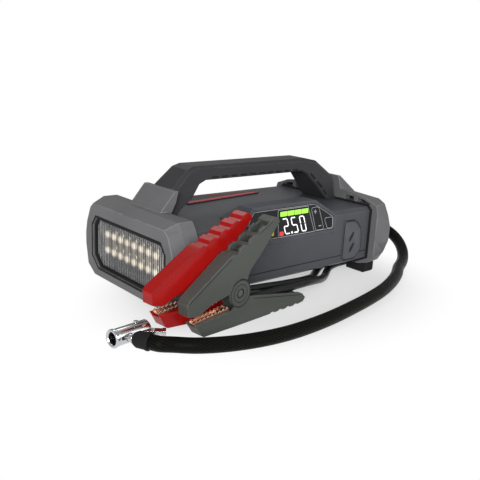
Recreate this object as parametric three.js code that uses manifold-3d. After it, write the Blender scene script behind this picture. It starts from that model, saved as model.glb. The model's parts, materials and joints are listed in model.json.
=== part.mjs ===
// Jump starter pack with a work lamp, an air pump, two clamps and a tyre hose.
// Millimetres. X runs from the lamp end to the hose end, the display is on the -Y side, +Z is up,
// and the origin lies on the floor under the middle of the pack.
import * as THREE from "three";
import { mergeVertices } from "three/addons/utils/BufferGeometryUtils.js";
import Module from "manifold-3d";

const wasm = await Module();
wasm.setup();

// ---------------------------------------------------------------- driving dimensions
const GAP = 0.3; // clearance between pieces that rest on or in each other

// ends of the pack
const LAMP_FACE = -150;
const REAR_END = 150;

// pack body
const BODY_FRONT = LAMP_FACE + 28.6;
const BODY_REAR = REAR_END - 4;
const USUAL_LENGTH = 267.4; // places along the body are given for this length, and move with its ends
const BODY_HALF = 72;
const BODY_TOP = 77.6;
const BODY_EDGE = 4; // chamfer along the top edges
const BODY_BOTTOM = 12;
const FLAT_HALF = BODY_HALF - 15; // half width of the flat underside
const SEAM = 28; // height of the joint between the two shells
const SKIRT = 8; // upright strip of the lower shell under the seam
const WALL = 3;

// front bumper, which frames the lamp
const BUMPER_LIP = 13; // length of its bevelled lip
const FRONT_STEP = 9; // how far the bumper stands out beyond the body's side
const FRONT_HALF = BODY_HALF + FRONT_STEP;
const FRONT_TOP = 88;
const FRONT_BOTTOM = 8.5;
const PEDESTAL_HALF = 26;
const PEDESTAL_TOP = 106.6;
const LAMP_HALF = 64;
const LAMP_BOTTOM = 18;
const LAMP_TOP = 69;
const LENS_LEDGE = 3; // how far the lip covers the rim of the lens
const LENS_RECESS = 4;
const LENS_THICK = 2.4;
const LENS_PITCH = 3.2;
const BOARD_X = LAMP_FACE + 18.3;
const LED_COLUMNS = 8;
const LED_PITCH = 12.3;
const LED_ROWS = [38, 54];
const CUP_RADIUS = 5;

// rear bumper
const REAR_RIM = REAR_END - 30;
const REAR_STEP = 10;
const REAR_HALF = BODY_HALF + REAR_STEP;
const REAR_BOTTOM = 9.5;
const HUMP_TOP = 104.5;
const HUMP_HALF = 21;
const POCKET_DEPTH = 10;
const POCKET_FLOOR = BODY_TOP + 1.8;
const POCKET_ROOFS = [
  [
    [REAR_HALF - 48.5, 85.5],
    [REAR_HALF - 35.5, 84.6],
  ],
  [
    [REAR_HALF - 30.5, 84.4],
    [REAR_HALF - 21, 83.4],
    [REAR_HALF - 11.5, 80.4],
  ],
];

// handle
const GRIP_HALF = 14.7;
const GRIP_TOP = 126.4;
const GRIP_UNDER = 112;
const HANDLE_CHAMFER = 3.4;
const STRIP_DEPTH = 5;
const STRIP_SLOTS = 8;
const STRIP_PITCH = 15.6;

// display pod on the near shoulder
const POD_FACE = -BODY_HALF - 1.4;
const POD_LEAN = 3.4; // how far the top of its face leans in
const POD_BOTTOM = 57;
const POD_TOP = 93.5;
const POD_DEPTH = 13; // depth of its flat top
const FRAME_THICK = 3;
const FRAME_RIM = 3.4;
const BOARD_SETBACK = 6;

// sockets and their cover
const COVER_THICK = 2.4;
const COVER_PROUD = 1.2;
const BLOCK_DEPTH = 16;

// feet and screws
const FOOT_LENGTH = 15;
const FOOT_INNER = BODY_HALF - 28;
const SCREW_HEAD = 3.4;

// outlets in the rear face
const HOSE_OUTLET = [-6, 40];
const BLACK_OUTLET = [-38, 39.3];
const RED_OUTLET = [-27, 39.3];
const BOOT_LENGTH = 8;

// clamps
const CLAMP_TURN = 6; // degrees
const BLACK_CLAMP = [-144.4, -106.8];
const CLAMP_SPACING = 15.3;
const CLAMP_SHIFT = 27; // how far the red clamp lies ahead of the black one
const CLAMP_TILT = 4.6; // degrees, by which the red clamp's nose lies higher, on the chuck
const ARM_HALF = 7.4; // half thickness of an arm
const TIP_HALF = 6;
const ARM_WALL = 2;
const PIVOT = [44, 30];
const BOSS_RADIUS = 12.8;
const EAR_RADIUS = 10.5;
const PIN_RADIUS = 2.2;
const RIVET_RADIUS = 4.4;
const RIVET_SUNK = 1.2;
const SPRING_WIRE = 1.4;
const SPRING_MEAN = 4.2; // mean radius of its coil
const SPRING_WIDTH = 4.5;

// leads and hose
const LEAD_DIAMETER = 8;
const HOSE_DIAMETER = 13;

// chuck
const CHUCK_FACE = [-216, -89.5, 8.4];
const CHUCK_TURN = 7.5; // degrees
const CHUCK_LENGTH = 36;
const CHUCK_RADIUS = 7.3;
const BORE_RADIUS = 5.2;
const BORE_DEPTH = 14;
const NIPPLE_AT = 10.5; // where the nipple's axis meets the chuck's
const NIPPLE_TURN = -62; // degrees
const LEVER_AT = 24.5;
const LEVER_THICK = 3.2;

// ---------------------------------------------------------------- colours
const SLATE = 0x4c4d54;
const GREY = 0x616265;
const DARK = 0x2b2c2e;
const BLACK = 0x151516;
const OLIVE = 0x45463f;
const RED = 0xc4161c;
const COPPER = 0xc98a5e;
const STEEL = 0xc9cbcd;

// ---------------------------------------------------------------- shape helpers
const radians = (degrees) => (degrees * Math.PI) / 180;
const STRETCH = (BODY_REAR - BODY_FRONT) / USUAL_LENGTH;
const along = (x) => BODY_FRONT + (x + 121.4) * STRETCH;
const alongAll = (points) => points.map(([x, ...rest]) => [along(x), ...rest]);

function toSolid(geometry) {
  const bare = geometry.index ? geometry.toNonIndexed() : geometry;
  const place = new THREE.BufferGeometry().setAttribute("position", bare.getAttribute("position"));
  const merged = mergeVertices(place, 1e-4);
  return new wasm.Manifold(
    new wasm.Mesh({
      numProp: 3,
      vertProperties: merged.attributes.position.array,
      triVerts: new Uint32Array(merged.index.array),
    }),
  );
}

function toGeometry(solid) {
  const mesh = solid.getMesh();
  const place = new Float32Array(mesh.numVert * 3);
  for (let i = 0; i < mesh.numVert; i++) {
    place.set(mesh.vertProperties.subarray(i * mesh.numProp, i * mesh.numProp + 3), i * 3);
  }
  const geometry = new THREE.BufferGeometry();
  geometry.setAttribute("position", new THREE.BufferAttribute(place, 3));
  geometry.setIndex(new THREE.BufferAttribute(mesh.triVerts, 1));
  return geometry;
}

const join = (...shapes) => toGeometry(shapes.map(toSolid).reduce((a, b) => a.add(b)));
const cut = (first, ...rest) =>
  toGeometry(rest.map(toSolid).reduce((a, b) => a.subtract(b), toSolid(first)));
const keep = (a, b) => toGeometry(toSolid(a).intersect(toSolid(b)));

function box(x0, x1, y0, y1, z0, z1) {
  const geometry = new THREE.BoxGeometry(x1 - x0, y1 - y0, z1 - z0);
  return geometry.translate((x0 + x1) / 2, (y0 + y1) / 2, (z0 + z1) / 2);
}

// An outline in X and Y, extruded along Z.
function plate(points, z0, z1) {
  const shape = new THREE.Shape(points.map(([x, y]) => new THREE.Vector2(x, y)));
  const geometry = new THREE.ExtrudeGeometry(shape, { depth: z1 - z0, bevelEnabled: false });
  return geometry.translate(0, 0, z0);
}

// An outline in X and Z, extruded along Y.
const alongY = (points, y0, y1) => plate(points, -y1, -y0).rotateX(Math.PI / 2);
// An outline in Y and Z, extruded along X.
const alongX = (points, x0, x1) => plate(points, x0, x1).rotateX(Math.PI / 2).rotateZ(Math.PI / 2);

// Round bars along the three axes, from one end to the other.
function bar(radius, length, sides) {
  return new THREE.CylinderGeometry(radius, radius, length, sides);
}
const barX = (r, x0, x1, y, z, sides = 20) =>
  bar(r, x1 - x0, sides).rotateZ(Math.PI / 2).translate((x0 + x1) / 2, y, z);
const barY = (r, y0, y1, x, z, sides = 20) => bar(r, y1 - y0, sides).translate(x, (y0 + y1) / 2, z);
const barZ = (r, z0, z1, x, y, sides = 20) =>
  bar(r, z1 - z0, sides).rotateX(Math.PI / 2).translate(x, y, (z0 + z1) / 2);

// A profile of [x, radius] points turned round the X axis.
function turned(profile, sides = 24) {
  const points = profile.map(([x, r]) => new THREE.Vector2(r, x));
  return facingOut(new THREE.LatheGeometry(points, sides).rotateZ(-Math.PI / 2));
}

// A solid through rings of equal point counts, with flat ends.
function loft(rings) {
  const count = rings[0].length;
  const index = [];
  for (let r = 0; r + 1 < rings.length; r++) {
    for (let i = 0; i < count; i++) {
      const a = r * count + i;
      const b = r * count + ((i + 1) % count);
      index.push(a, b, b + count, a, b + count, a + count);
    }
  }
  const last = (rings.length - 1) * count;
  index.push(...endCap(rings[0]).flatMap(([a, b, c]) => [a, c, b]));
  index.push(...endCap(rings.at(-1)).flatMap(([a, b, c]) => [last + a, last + b, last + c]));
  const geometry = new THREE.BufferGeometry();
  geometry.setAttribute("position", new THREE.BufferAttribute(new Float32Array(rings.flat(2)), 3));
  geometry.setIndex(index);
  return facingOut(geometry);
}

// The triangles of a flat ring, in the order of its points.
function endCap(ring) {
  const points = ring.map((p) => new THREE.Vector3(...p));
  const normal = new THREE.Vector3();
  points.forEach((p, i) => {
    normal.add(new THREE.Vector3().crossVectors(p, points[(i + 1) % points.length]));
  });
  const across = new THREE.Vector3().subVectors(points[1], points[0]).normalize();
  const up = new THREE.Vector3().crossVectors(normal.normalize(), across);
  const flat = points.map((p) => new THREE.Vector2(p.dot(across), p.dot(up)));
  return THREE.ShapeUtils.triangulateShape(flat, []);
}

// Turns every face round where the solid is inside out.
function facingOut(geometry) {
  const place = geometry.getAttribute("position");
  const index = geometry.index.array;
  const corner = [new THREE.Vector3(), new THREE.Vector3(), new THREE.Vector3()];
  let volume = 0;
  for (let i = 0; i < index.length; i += 3) {
    corner.forEach((v, k) => v.fromBufferAttribute(place, index[i + k]));
    volume += corner[0].dot(corner[1].cross(corner[2]));
  }
  if (volume < 0) {
    for (let i = 0; i < index.length; i += 3) {
      [index[i + 1], index[i + 2]] = [index[i + 2], index[i + 1]];
    }
  }
  return geometry;
}

// A half outline of [y, z] points with y > 0, closed by its mirror image.
const mirrored = (half) => [...half, ...half.toReversed().map(([y, z]) => [-y, z])];
const ringAt = (x, half) => mirrored(half).map(([y, z]) => [x, y, z]);

// An outline moved outwards by a distance, corner by corner.
function grown(points, by) {
  const side = Math.sign(THREE.ShapeUtils.area(points.map(([x, y]) => new THREE.Vector2(x, y)))) * by;
  return points.map((p, i) => {
    const [q, r] = [points.at(i - 1), points[(i + 1) % points.length]];
    const a = new THREE.Vector2(p[0] - q[0], p[1] - q[1]).normalize();
    const b = new THREE.Vector2(r[0] - p[0], r[1] - p[1]).normalize();
    const turn = 1 + a.dot(b);
    return [p[0] + (side * (a.y + b.y)) / turn, p[1] - (side * (a.x + b.x)) / turn];
  });
}

const curve = (points) =>
  new THREE.CatmullRomCurve3(points.map((p) => new THREE.Vector3(...p)), false, "centripetal");

function tube(path, diameter, sides, steps) {
  const section = new THREE.Shape();
  for (let i = 0; i < sides; i++) {
    const turn = (2 * Math.PI * i) / sides;
    const [x, y] = [(diameter / 2) * Math.cos(turn), (diameter / 2) * Math.sin(turn)];
    if (i === 0) section.moveTo(x, y);
    else section.lineTo(x, y);
  }
  return new THREE.ExtrudeGeometry(section, { steps, extrudePath: path, curveSegments: 1 });
}

// The least gap between parts of a tube that are more than a few diameters apart along it.
function leastGap(path, diameter, samples = 240) {
  const points = path.getSpacedPoints(samples);
  const apart = Math.ceil((4 * diameter) / (path.getLength() / samples));
  let least = Infinity;
  for (let i = 0; i < points.length; i++) {
    for (let j = i + apart; j < points.length; j++) {
      least = Math.min(least, points[i].distanceTo(points[j]) - diameter);
    }
  }
  return least;
}

const part = new THREE.Group();
function add(name, geometry, colour, roughness = 0.6, metalness = 0, group = part) {
  const material = new THREE.MeshStandardMaterial({ color: colour, roughness, metalness });
  const mesh = new THREE.Mesh(geometry, material);
  mesh.name = name;
  group.add(mesh);
}

// ---------------------------------------------------------------- front bumper
const FACE_OUTLINE = [
  [FRONT_HALF - 21, FRONT_BOTTOM + 0.5],
  [FRONT_HALF - 7.5, 17.5],
  [FRONT_HALF - 3, 38],
  [FRONT_HALF - 3, 50],
  [FRONT_HALF - 5.5, 62],
  [FRONT_HALF - 12.5, 77.5],
  [FRONT_HALF - 18.5, 82.5],
];
const FRONT_OUTLINE = [
  [FRONT_HALF - 20.5, FRONT_BOTTOM],
  [FRONT_HALF - 5.5, 16],
  [FRONT_HALF, 37.5],
  [FRONT_HALF, 51],
  [FRONT_HALF - 2, 65.5],
  [FRONT_HALF - 11, 81.5],
  [FRONT_HALF - 16, FRONT_TOP],
];
const LAMP_OUTLINE = mirrored([
  [LAMP_HALF - 12, LAMP_BOTTOM],
  [LAMP_HALF, LAMP_BOTTOM + 11],
  [LAMP_HALF, LAMP_TOP - 9],
  [LAMP_HALF - 7, LAMP_TOP],
]);
const PEDESTAL = [
  [BODY_FRONT - 9.6, FRONT_TOP - 2],
  [BODY_FRONT + 7.7, PEDESTAL_TOP],
  [BODY_FRONT + 11.8, PEDESTAL_TOP],
  [BODY_FRONT + 9.2, 96],
  [BODY_FRONT - 0.1, BODY_TOP + GAP],
  [BODY_FRONT - 6.6, BODY_TOP + GAP],
];

function frontBumper() {
  const back = BODY_FRONT - GAP;
  const shell = loft([
    ringAt(LAMP_FACE, FACE_OUTLINE),
    ringAt(LAMP_FACE + BUMPER_LIP, FRONT_OUTLINE),
    ringAt(back, FRONT_OUTLINE),
  ]);
  const pedestal = alongY(PEDESTAL, -PEDESTAL_HALF, PEDESTAL_HALF);
  const opening = alongX(LAMP_OUTLINE, LAMP_FACE - 1, back + 1);
  const seat = alongX(grown(LAMP_OUTLINE, LENS_LEDGE), LAMP_FACE + LENS_RECESS, back + 1);
  return cut(join(shell, pedestal), opening, seat);
}

// ---------------------------------------------------------------- lamp
const LENS_FRONT = LAMP_FACE + LENS_RECESS + GAP;
const ledPlaces = LED_ROWS.flatMap((z) =>
  Array.from({ length: LED_COLUMNS }, (_, i) => [(i - (LED_COLUMNS - 1) / 2) * LED_PITCH, z]),
);

// The front of the lens is a row of upright ribs.
function lampLens() {
  const half = LAMP_HALF + LENS_LEDGE;
  const outline = [
    [LENS_FRONT + LENS_THICK, half],
    [LENS_FRONT + LENS_THICK, -half],
  ];
  const ribs = Math.floor((2 * half) / LENS_PITCH);
  for (let i = 0; i <= ribs; i++) {
    const y = -half + (2 * half * i) / ribs;
    outline.push([LENS_FRONT + 0.8, y]);
    if (i < ribs) outline.push([LENS_FRONT, y + half / ribs]);
  }
  const rim = alongX(grown(LAMP_OUTLINE, LENS_LEDGE - GAP), LENS_FRONT - 1, LENS_FRONT + LENS_THICK + 1);
  return keep(plate(outline, 0, FRONT_TOP), rim);
}

function lampReflector() {
  const front = LENS_FRONT + LENS_THICK + GAP;
  const back = BOARD_X - GAP;
  const atX = (x, grow) => grown(LAMP_OUTLINE, grow).map(([y, z]) => [x, y, z]);
  const bowl = loft([atX(front - 1, 1), atX(back - 4, -5)]);
  const cups = ledPlaces.map(([y, z]) =>
    new THREE.CylinderGeometry(CUP_RADIUS, CUP_RADIUS / 2, 5, 10)
      .rotateZ(Math.PI / 2)
      .translate(back - 2, y, z),
  );
  return cut(alongX(grown(LAMP_OUTLINE, LENS_LEDGE - 2 * GAP), front, back), bowl, ...cups);
}

function lampBoard() {
  const board = box(BOARD_X, BOARD_X + 1.6, 4 - LAMP_HALF, LAMP_HALF - 4, LAMP_BOTTOM + 6, LAMP_TOP - 4);
  const chips = ledPlaces.map(([y, z]) =>
    box(BOARD_X - 1.3, BOARD_X + 0.2, y - 1.3, y + 1.3, z - 1.3, z + 1.3),
  );
  return join(board, ...chips);
}

// ---------------------------------------------------------------- display
const POD_OUTLINE = alongAll([
  [-43, POD_BOTTOM + 0.5],
  [62.5, POD_BOTTOM],
  [61.5, 76],
  [30.5, POD_TOP],
  [-55.5, POD_TOP],
  [-65.5, 79],
]);
const WINDOW_OUTLINE = grown(POD_OUTLINE, -FRAME_RIM);
const KEYHOLE = grown(WINDOW_OUTLINE, -FRAME_THICK);
const ROCKER_OUTLINE = alongAll([
  [32.1, 63],
  [42.4, 63],
  [34.8, 85],
  [25.7, 85],
]);
const PUMP_OUTLINE = alongAll([
  [50, 63.2],
  [55.4, 63.2],
  [55.8, 72],
  [46, 72],
]);
const BOOST_OUTLINE = alongAll([
  [-37.5, 64],
  [-28, 64],
  [-28, 73.5],
  [-41, 73.5],
]);

// A shape made upright at the face of the pod leans back with it.
function leaning(geometry) {
  const slope = POD_LEAN / (POD_TOP - POD_BOTTOM);
  const lean = new THREE.Matrix4().set(1, 0, 0, 0, 0, 1, slope, 0, 0, 0, 1, 0, 0, 0, 0, 1);
  return geometry.translate(0, 0, -POD_BOTTOM).applyMatrix4(lean).translate(0, 0, POD_BOTTOM);
}
const onFace = (outline, from, to) => leaning(alongY(outline, POD_FACE + from, POD_FACE + to));

function displayFrame() {
  const rebate = onFace(grown(WINDOW_OUTLINE, GAP), -1, 2);
  const through = onFace(grown(WINDOW_OUTLINE, -1.5), -1, FRAME_THICK + 1);
  return cut(onFace(POD_OUTLINE, 0, FRAME_THICK), rebate, through);
}

function displayWindow() {
  const slots = [ROCKER_OUTLINE, PUMP_OUTLINE, BOOST_OUTLINE].map((o) => onFace(grown(o, GAP), -1, 3));
  return cut(onFace(WINDOW_OUTLINE, 0.4, 2 - GAP), ...slots);
}

// A key is a cap in the window on a wider flange behind it.
function key(outline) {
  const flange = keep(onFace(grown(outline, 1.2), 2.5, 3.2), onFace(grown(KEYHOLE, -GAP), 2, 4));
  return join(onFace(outline, 0.2, 2.6), flange);
}

// ---------------------------------------------------------------- body shells
const PORT_OUTLINE = alongAll([
  [76, 21.5],
  [99, 22],
  [107.5, 31],
  [105.5, 55],
  [95, 66],
  [76, 66.5],
]);
const SCREW_PLACES = alongAll([
  [-100, 32 - BODY_HALF],
  [-100, BODY_HALF - 32],
  [80, 32 - BODY_HALF],
  [80, BODY_HALF - 32],
]);
const OUTLETS = [
  [...HOSE_OUTLET, 6],
  [...BLACK_OUTLET, 3.4],
  [...RED_OUTLET, 3.4],
];

// The body's cross-section, grown by a distance all round.
const bodySection = (by) =>
  grown(
    mirrored([
      [FLAT_HALF, BODY_BOTTOM],
      [BODY_HALF, SEAM - SKIRT],
      [BODY_HALF, BODY_TOP - BODY_EDGE],
      [BODY_HALF - BODY_EDGE, BODY_TOP],
    ]),
    by,
  );
const hollowBody = () =>
  cut(
    alongX(bodySection(0), BODY_FRONT, BODY_REAR),
    alongX(bodySection(-WALL), BODY_FRONT + WALL, BODY_REAR - WALL),
  );
const outletHoles = (grow, x0, x1) => OUTLETS.map(([y, z, r]) => barX(r + grow, x0, x1, y, z));
const halfSpace = (z0, z1) => box(BODY_FRONT - 1, BODY_REAR + 1, -BODY_HALF - 30, BODY_HALF + 30, z0, z1);

// The pod runs back from the display with a flat top and then sinks into the body.
function podBody() {
  const front = POD_FACE + FRAME_THICK + GAP;
  const lean = (z) => front + (POD_LEAN * (z - POD_BOTTOM)) / (POD_TOP - POD_BOTTOM);
  const profile = [
    [lean(POD_BOTTOM - 5), POD_BOTTOM - 5],
    [lean(POD_TOP + 2), POD_TOP + 2],
    [lean(POD_TOP) + POD_DEPTH, POD_TOP + 2],
    [lean(POD_TOP) + POD_DEPTH + 22, BODY_TOP - 1],
    [lean(POD_TOP) + POD_DEPTH + 22, POD_BOTTOM - 5],
  ];
  return keep(alongY(POD_OUTLINE, POD_FACE - 16.6, 0), alongX(profile, BODY_FRONT, BODY_REAR));
}

const coverRebate = () =>
  alongY(grown(PORT_OUTLINE, GAP), -BODY_HALF - 8, -BODY_HALF + COVER_THICK - COVER_PROUD + GAP);

function upperShell() {
  const half = keep(hollowBody(), halfSpace(SEAM + GAP, 100));
  const pod = cut(podBody(), alongX(bodySection(-WALL), BODY_FRONT + WALL, BODY_REAR - WALL));
  return cut(
    join(half, pod),
    onFace(grown(POD_OUTLINE, GAP), -20, FRAME_THICK + GAP),
    onFace(KEYHOLE, -20, 18),
    coverRebate(),
    alongY(grown(PORT_OUTLINE, -5), -BODY_HALF - 8, -BODY_HALF + 12),
    ...outletHoles(GAP, BODY_REAR - 2 * WALL, BODY_REAR + 1),
  );
}

function lowerShell() {
  const half = keep(hollowBody(), halfSpace(0, SEAM));
  const bosses = SCREW_PLACES.map(([x, y]) => barZ(5, BODY_BOTTOM + 1, SEAM - 1, x, y));
  const holes = SCREW_PLACES.map(([x, y]) =>
    barZ(SCREW_HEAD + GAP, BODY_BOTTOM - 1, BODY_BOTTOM + 4, x, y, 16),
  );
  return cut(
    join(half, ...bosses),
    ...holes,
    coverRebate(),
  );
}

function screw([x, y]) {
  const head = barZ(SCREW_HEAD, BODY_BOTTOM + 1.5, BODY_BOTTOM + 4 - GAP, x, y, 16);
  return cut(head, barZ(1.5, BODY_BOTTOM, BODY_BOTTOM + 2.8, x, y, 6));
}

// ---------------------------------------------------------------- sockets
function portCover() {
  const face = -BODY_HALF - COVER_PROUD;
  return alongY(PORT_OUTLINE, face, face + COVER_THICK);
}

function portBlock() {
  const front = -BODY_HALF + WALL + GAP;
  const block = box(along(79), along(101), front, front + BLOCK_DEPTH, 33, 61);
  const round = barY(3.6, front - 1, front + 12, along(90), 53, 16);
  const flat = box(along(83.5), along(96.5), front - 1, front + 12, 37, 43);
  return cut(block, round, flat);
}

// ---------------------------------------------------------------- rear bumper
const REAR_RING = [
  [REAR_HALF - 20, REAR_BOTTOM],
  [REAR_HALF - 7, 13.5],
  [REAR_HALF, 21],
  [REAR_HALF, 37],
  [REAR_HALF, 55],
  [REAR_HALF, 70],
  [REAR_HALF - 3, 80],
  [REAR_HALF - 20, 86.5],
  [REAR_HALF - 39, 89.5],
  [26, 90.5],
  [HUMP_HALF, HUMP_TOP],
];
const REAR_TAIL = [
  [REAR_HALF - 24, REAR_BOTTOM],
  [REAR_HALF - 13, 12],
  [REAR_HALF - 6, 23],
  [REAR_HALF - 1, 37],
  [REAR_HALF - 1, 56],
  [REAR_HALF - 5, 67],
  [REAR_HALF - 11, 78.5],
  [REAR_HALF - 20, 83],
  [REAR_HALF - 39, 84],
  [26, 85],
  [HUMP_HALF, 86],
];

function rearBumper() {
  const end = REAR_TAIL.map(([y, z]) => [y - 2.5, z + (z < 45 ? 2 : -2)]);
  const shell = loft([
    ringAt(REAR_RIM, REAR_RING),
    ringAt(REAR_RIM + 3, REAR_RING),
    ringAt(REAR_END - 4, REAR_TAIL),
    ringAt(REAR_END, end),
  ]);
  const pockets = POCKET_ROOFS.flatMap((roof) =>
    bothSides((side) => {
      const outline = [[roof[0][0], POCKET_FLOOR], ...roof, [roof.at(-1)[0], POCKET_FLOOR]];
      return alongX(outline.map(([y, z]) => [side * y, z]), REAR_RIM - 1, REAR_RIM + POCKET_DEPTH);
    }),
  );
  return cut(
    shell,
    alongX(bodySection(GAP), REAR_RIM - 1, BODY_REAR + GAP),
    handleArch(GAP),
    ...pockets,
    ...outletHoles(GAP, BODY_REAR - 1, REAR_END + 1),
  );
}

// ---------------------------------------------------------------- handle
// Stations along the arch: outer x and z, inner x and z, half width.
const fromFront = (rows) =>
  rows.map(([ox, oz, ix, iz, half]) => [BODY_FRONT + ox, oz, BODY_FRONT + ix, iz, half]);
const fromRear = (rows) =>
  rows.map(([ox, oz, ix, iz, half]) => [BODY_REAR - ox, oz, BODY_REAR - ix, iz, half]);
const HANDLE_STATIONS = [
  ...fromFront([
    [0.4, BODY_TOP + GAP, 13.4, BODY_TOP + GAP, 20],
    [10.2, 96, 21.9, 87.8, 19.4],
    [12.4, 107, 34.4, 96, 18.4],
    [30.4, 123.6, 44.9, 108.8, 15.8],
    [38.4, GRIP_TOP, 53.4, GRIP_UNDER, GRIP_HALF],
  ]),
  ...fromRear([
    [76, GRIP_TOP, 80, GRIP_UNDER, GRIP_HALF],
    [58, 122.8, 71, 107.5, 15.6],
    [34, 105.5, 53, 89.5, 19.2],
    [25, BODY_TOP + GAP, 42, BODY_TOP + GAP, 20.4],
  ]),
];

function handleArch(grow) {
  const rings = HANDLE_STATIONS.map(([ox, oz, ix, iz, half]) => {
    const reach = Math.hypot(ox - ix, oz - iz);
    const at = (along, y) => [ix + ((ox - ix) * along) / reach, y, iz + ((oz - iz) * along) / reach];
    const side = [
      at(-grow, half - HANDLE_CHAMFER / 2 + grow),
      at(HANDLE_CHAMFER / 2, half + grow),
      at(reach - HANDLE_CHAMFER, half + grow),
      at(reach + grow, half - HANDLE_CHAMFER + grow),
    ];
    return [...side, ...side.toReversed().map(([x, y, z]) => [x, -y, z])];
  });
  return loft(rings);
}

const STRIP_ENDS = [along(-65), along(62)];
const STRIP_HALF = GRIP_HALF - 4;

function carryHandle() {
  const [x0, x1] = STRIP_ENDS;
  return cut(handleArch(0), box(x0, x1, -STRIP_HALF, STRIP_HALF, GRIP_UNDER - 1, GRIP_UNDER + STRIP_DEPTH));
}

// The strip let into the underside of the grip has a row of slots.
function gripStrip() {
  const [x0, x1] = STRIP_ENDS;
  const half = STRIP_HALF - GAP;
  const strip = box(x0 + GAP, x1 - GAP, -half, half, GRIP_UNDER, GRIP_UNDER + STRIP_DEPTH - GAP);
  const slots = Array.from({ length: STRIP_SLOTS }, (_, i) => {
    const x = (x0 + x1) / 2 + (i - (STRIP_SLOTS - 1) / 2) * STRIP_PITCH;
    return box(x - 5, x + 5, 2 - half, half - 2, GRIP_UNDER - 1, GRIP_UNDER + 3);
  });
  return cut(strip, ...slots);
}

// ---------------------------------------------------------------- feet and inner pieces
// A foot fills the space between the floor and the sloping underside of its bumper.
function foot(x, side, underside) {
  const [[y0, z0], [y1, z1]] = underside;
  const outer = y1 - 4;
  const outline = [
    [FOOT_INNER, 0],
    [outer - 2, 0],
    [outer, 2.5],
    [outer, z0 + ((z1 - z0) * (outer - y0)) / (y1 - y0) - GAP],
    [y0, z0 - GAP],
    [FOOT_INNER, z0 - GAP],
  ];
  return alongX(outline.map(([y, z]) => [side * y, z]), x, x + FOOT_LENGTH);
}

// An outlet boot has a neck through the walls and a ribbed collar outside.
function boot([y, z, neck], collar) {
  const x = REAR_END + GAP;
  const inner = BODY_REAR - WALL - 2;
  const profile = [
    [inner, 0],
    [inner, neck],
    [x, neck],
    [x, collar],
    [x + 3, collar],
    [x + 3.8, collar - 1],
    [x + 4.6, collar],
    [x + BOOT_LENGTH, collar - 1.2],
    [x + BOOT_LENGTH, 0],
  ];
  return turned(profile, 20).translate(0, y, z);
}

const PUMP_FACE = BODY_REAR - 50;

function pumpHead() {
  const [y, z] = HOSE_OUTLET;
  const fins = Array.from({ length: 6 }, (_, i) => PUMP_FACE + i * 6).map((x) =>
    box(x, x + 3, y - 20, y + 20, 22, 62),
  );
  const core = box(PUMP_FACE, PUMP_FACE + 35, y - 15, y + 15, BODY_BOTTOM + WALL + GAP, 57);
  return join(core, ...fins, barX(4, PUMP_FACE + 32, BODY_REAR - WALL - 2 - GAP, y, z));
}

// ---------------------------------------------------------------- clamps
// In a clamp's own frame X runs from the jaws to the handles, Y across it, and Z up.
const UPPER_JAW_EDGE = [
  [-15.8, 22.2],
  [-5, 20.4],
  [9.5, 27.6],
  [30, 32],
];
const LOWER_JAW_EDGE = [
  [-8.2, 13],
  [34.5, 16],
];
const LOWER_SEAT = [
  [-5, 10.2],
  [35.5, 12.6],
];
const LOWER_TEETH = [
  [-7.2, 15.8],
  [33, 20],
];
const UPPER_SEAT = [
  [-12, 25.2],
  [29, 37],
];
const UPPER_TEETH = [
  [-11, 19.6],
  [28.5, 29.6],
];

// Finger grooves along a straight edge, at a regular pitch.
function grooved([x0, z0], [x1, z1], count, depth) {
  const length = Math.hypot(x1 - x0, z1 - z0);
  const [ux, uz] = [(x1 - x0) / length, (z1 - z0) / length];
  const pitch = length / count;
  const point = (far, sunk) => [x0 + ux * far + uz * sunk, z0 + uz * far - ux * sunk];
  return Array.from({ length: count }, (_, i) => i * pitch).flatMap((at) => [
    point(at + pitch * 0.3, 0),
    point(at + pitch * 0.42, depth),
    point(at + pitch * 0.7, depth),
    point(at + pitch * 0.86, 0),
  ]);
}

const UPPER_ARM = [
  [-17.6, 32.4],
  [-14.5, 36.5],
  [28, 64.5],
  ...grooved([30, 65.4], [80, 91.5], 4, 2.2),
  [84, 93.4],
  [88.5, 92.2],
  [91, 88.4],
  [70, 64],
  [55.4, 49.6],
  [51, 40],
  [44, 33],
  ...UPPER_JAW_EDGE.toReversed(),
];
const LOWER_ARM = [
  ...LOWER_JAW_EDGE,
  [46, 27],
  [59, 24.4],
  [128, 12.2],
  [133, 10],
  [138, 5],
  [135, 1.5],
  ...grooved([130, 0.4], [84, 0.4], 4, 1.2),
  [2, 0.4],
  [0.2, 1.4],
];
const HEEL = 132;

// The arms narrow towards the tips of the jaws.
function narrowed(outline) {
  const plan = [
    [-20, -TIP_HALF],
    [36, -ARM_HALF],
    [160, -ARM_HALF],
    [160, ARM_HALF],
    [36, ARM_HALF],
    [-20, TIP_HALF],
  ];
  return keep(alongY(outline, -ARM_HALF, ARM_HALF), plate(plan, -5, 120));
}
const aroundPivot = (radius, y0, y1, sides = 28) => barY(radius, y0, y1, ...PIVOT, sides);
const bothSides = (make) => [make(-1), make(1)];
const across = (side, from, to) => [side * from, side * to].sort((a, b) => a - b);

function lowerArm() {
  const inner = ARM_HALF - ARM_WALL;
  const [front, top] = LOWER_JAW_EDGE.at(-1);
  const channel = [
    [front, top + GAP],
    LOWER_SEAT[1],
    [38, 3],
    [129, 3],
    [139, 12.2],
    [139, 60],
    [28, 60],
    [28, top + GAP],
  ];
  const boss = aroundPivot(BOSS_RADIUS, -ARM_HALF, ARM_HALF);
  const sunk = bothSides((s) => aroundPivot(RIVET_RADIUS + GAP, ...across(s, ARM_HALF - RIVET_SUNK, 20), 16));
  const jawSpace = alongY([...LOWER_SEAT, [36, 60], [-20, 60], [-20, 12.2]], 1.6 - TIP_HALF, TIP_HALF - 1.6);
  return cut(
    join(narrowed(LOWER_ARM), boss),
    alongY(channel, -inner, inner),
    jawSpace,
    aroundPivot(PIN_RADIUS + GAP, -20, 20, 16),
    ...sunk,
  );
}

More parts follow.
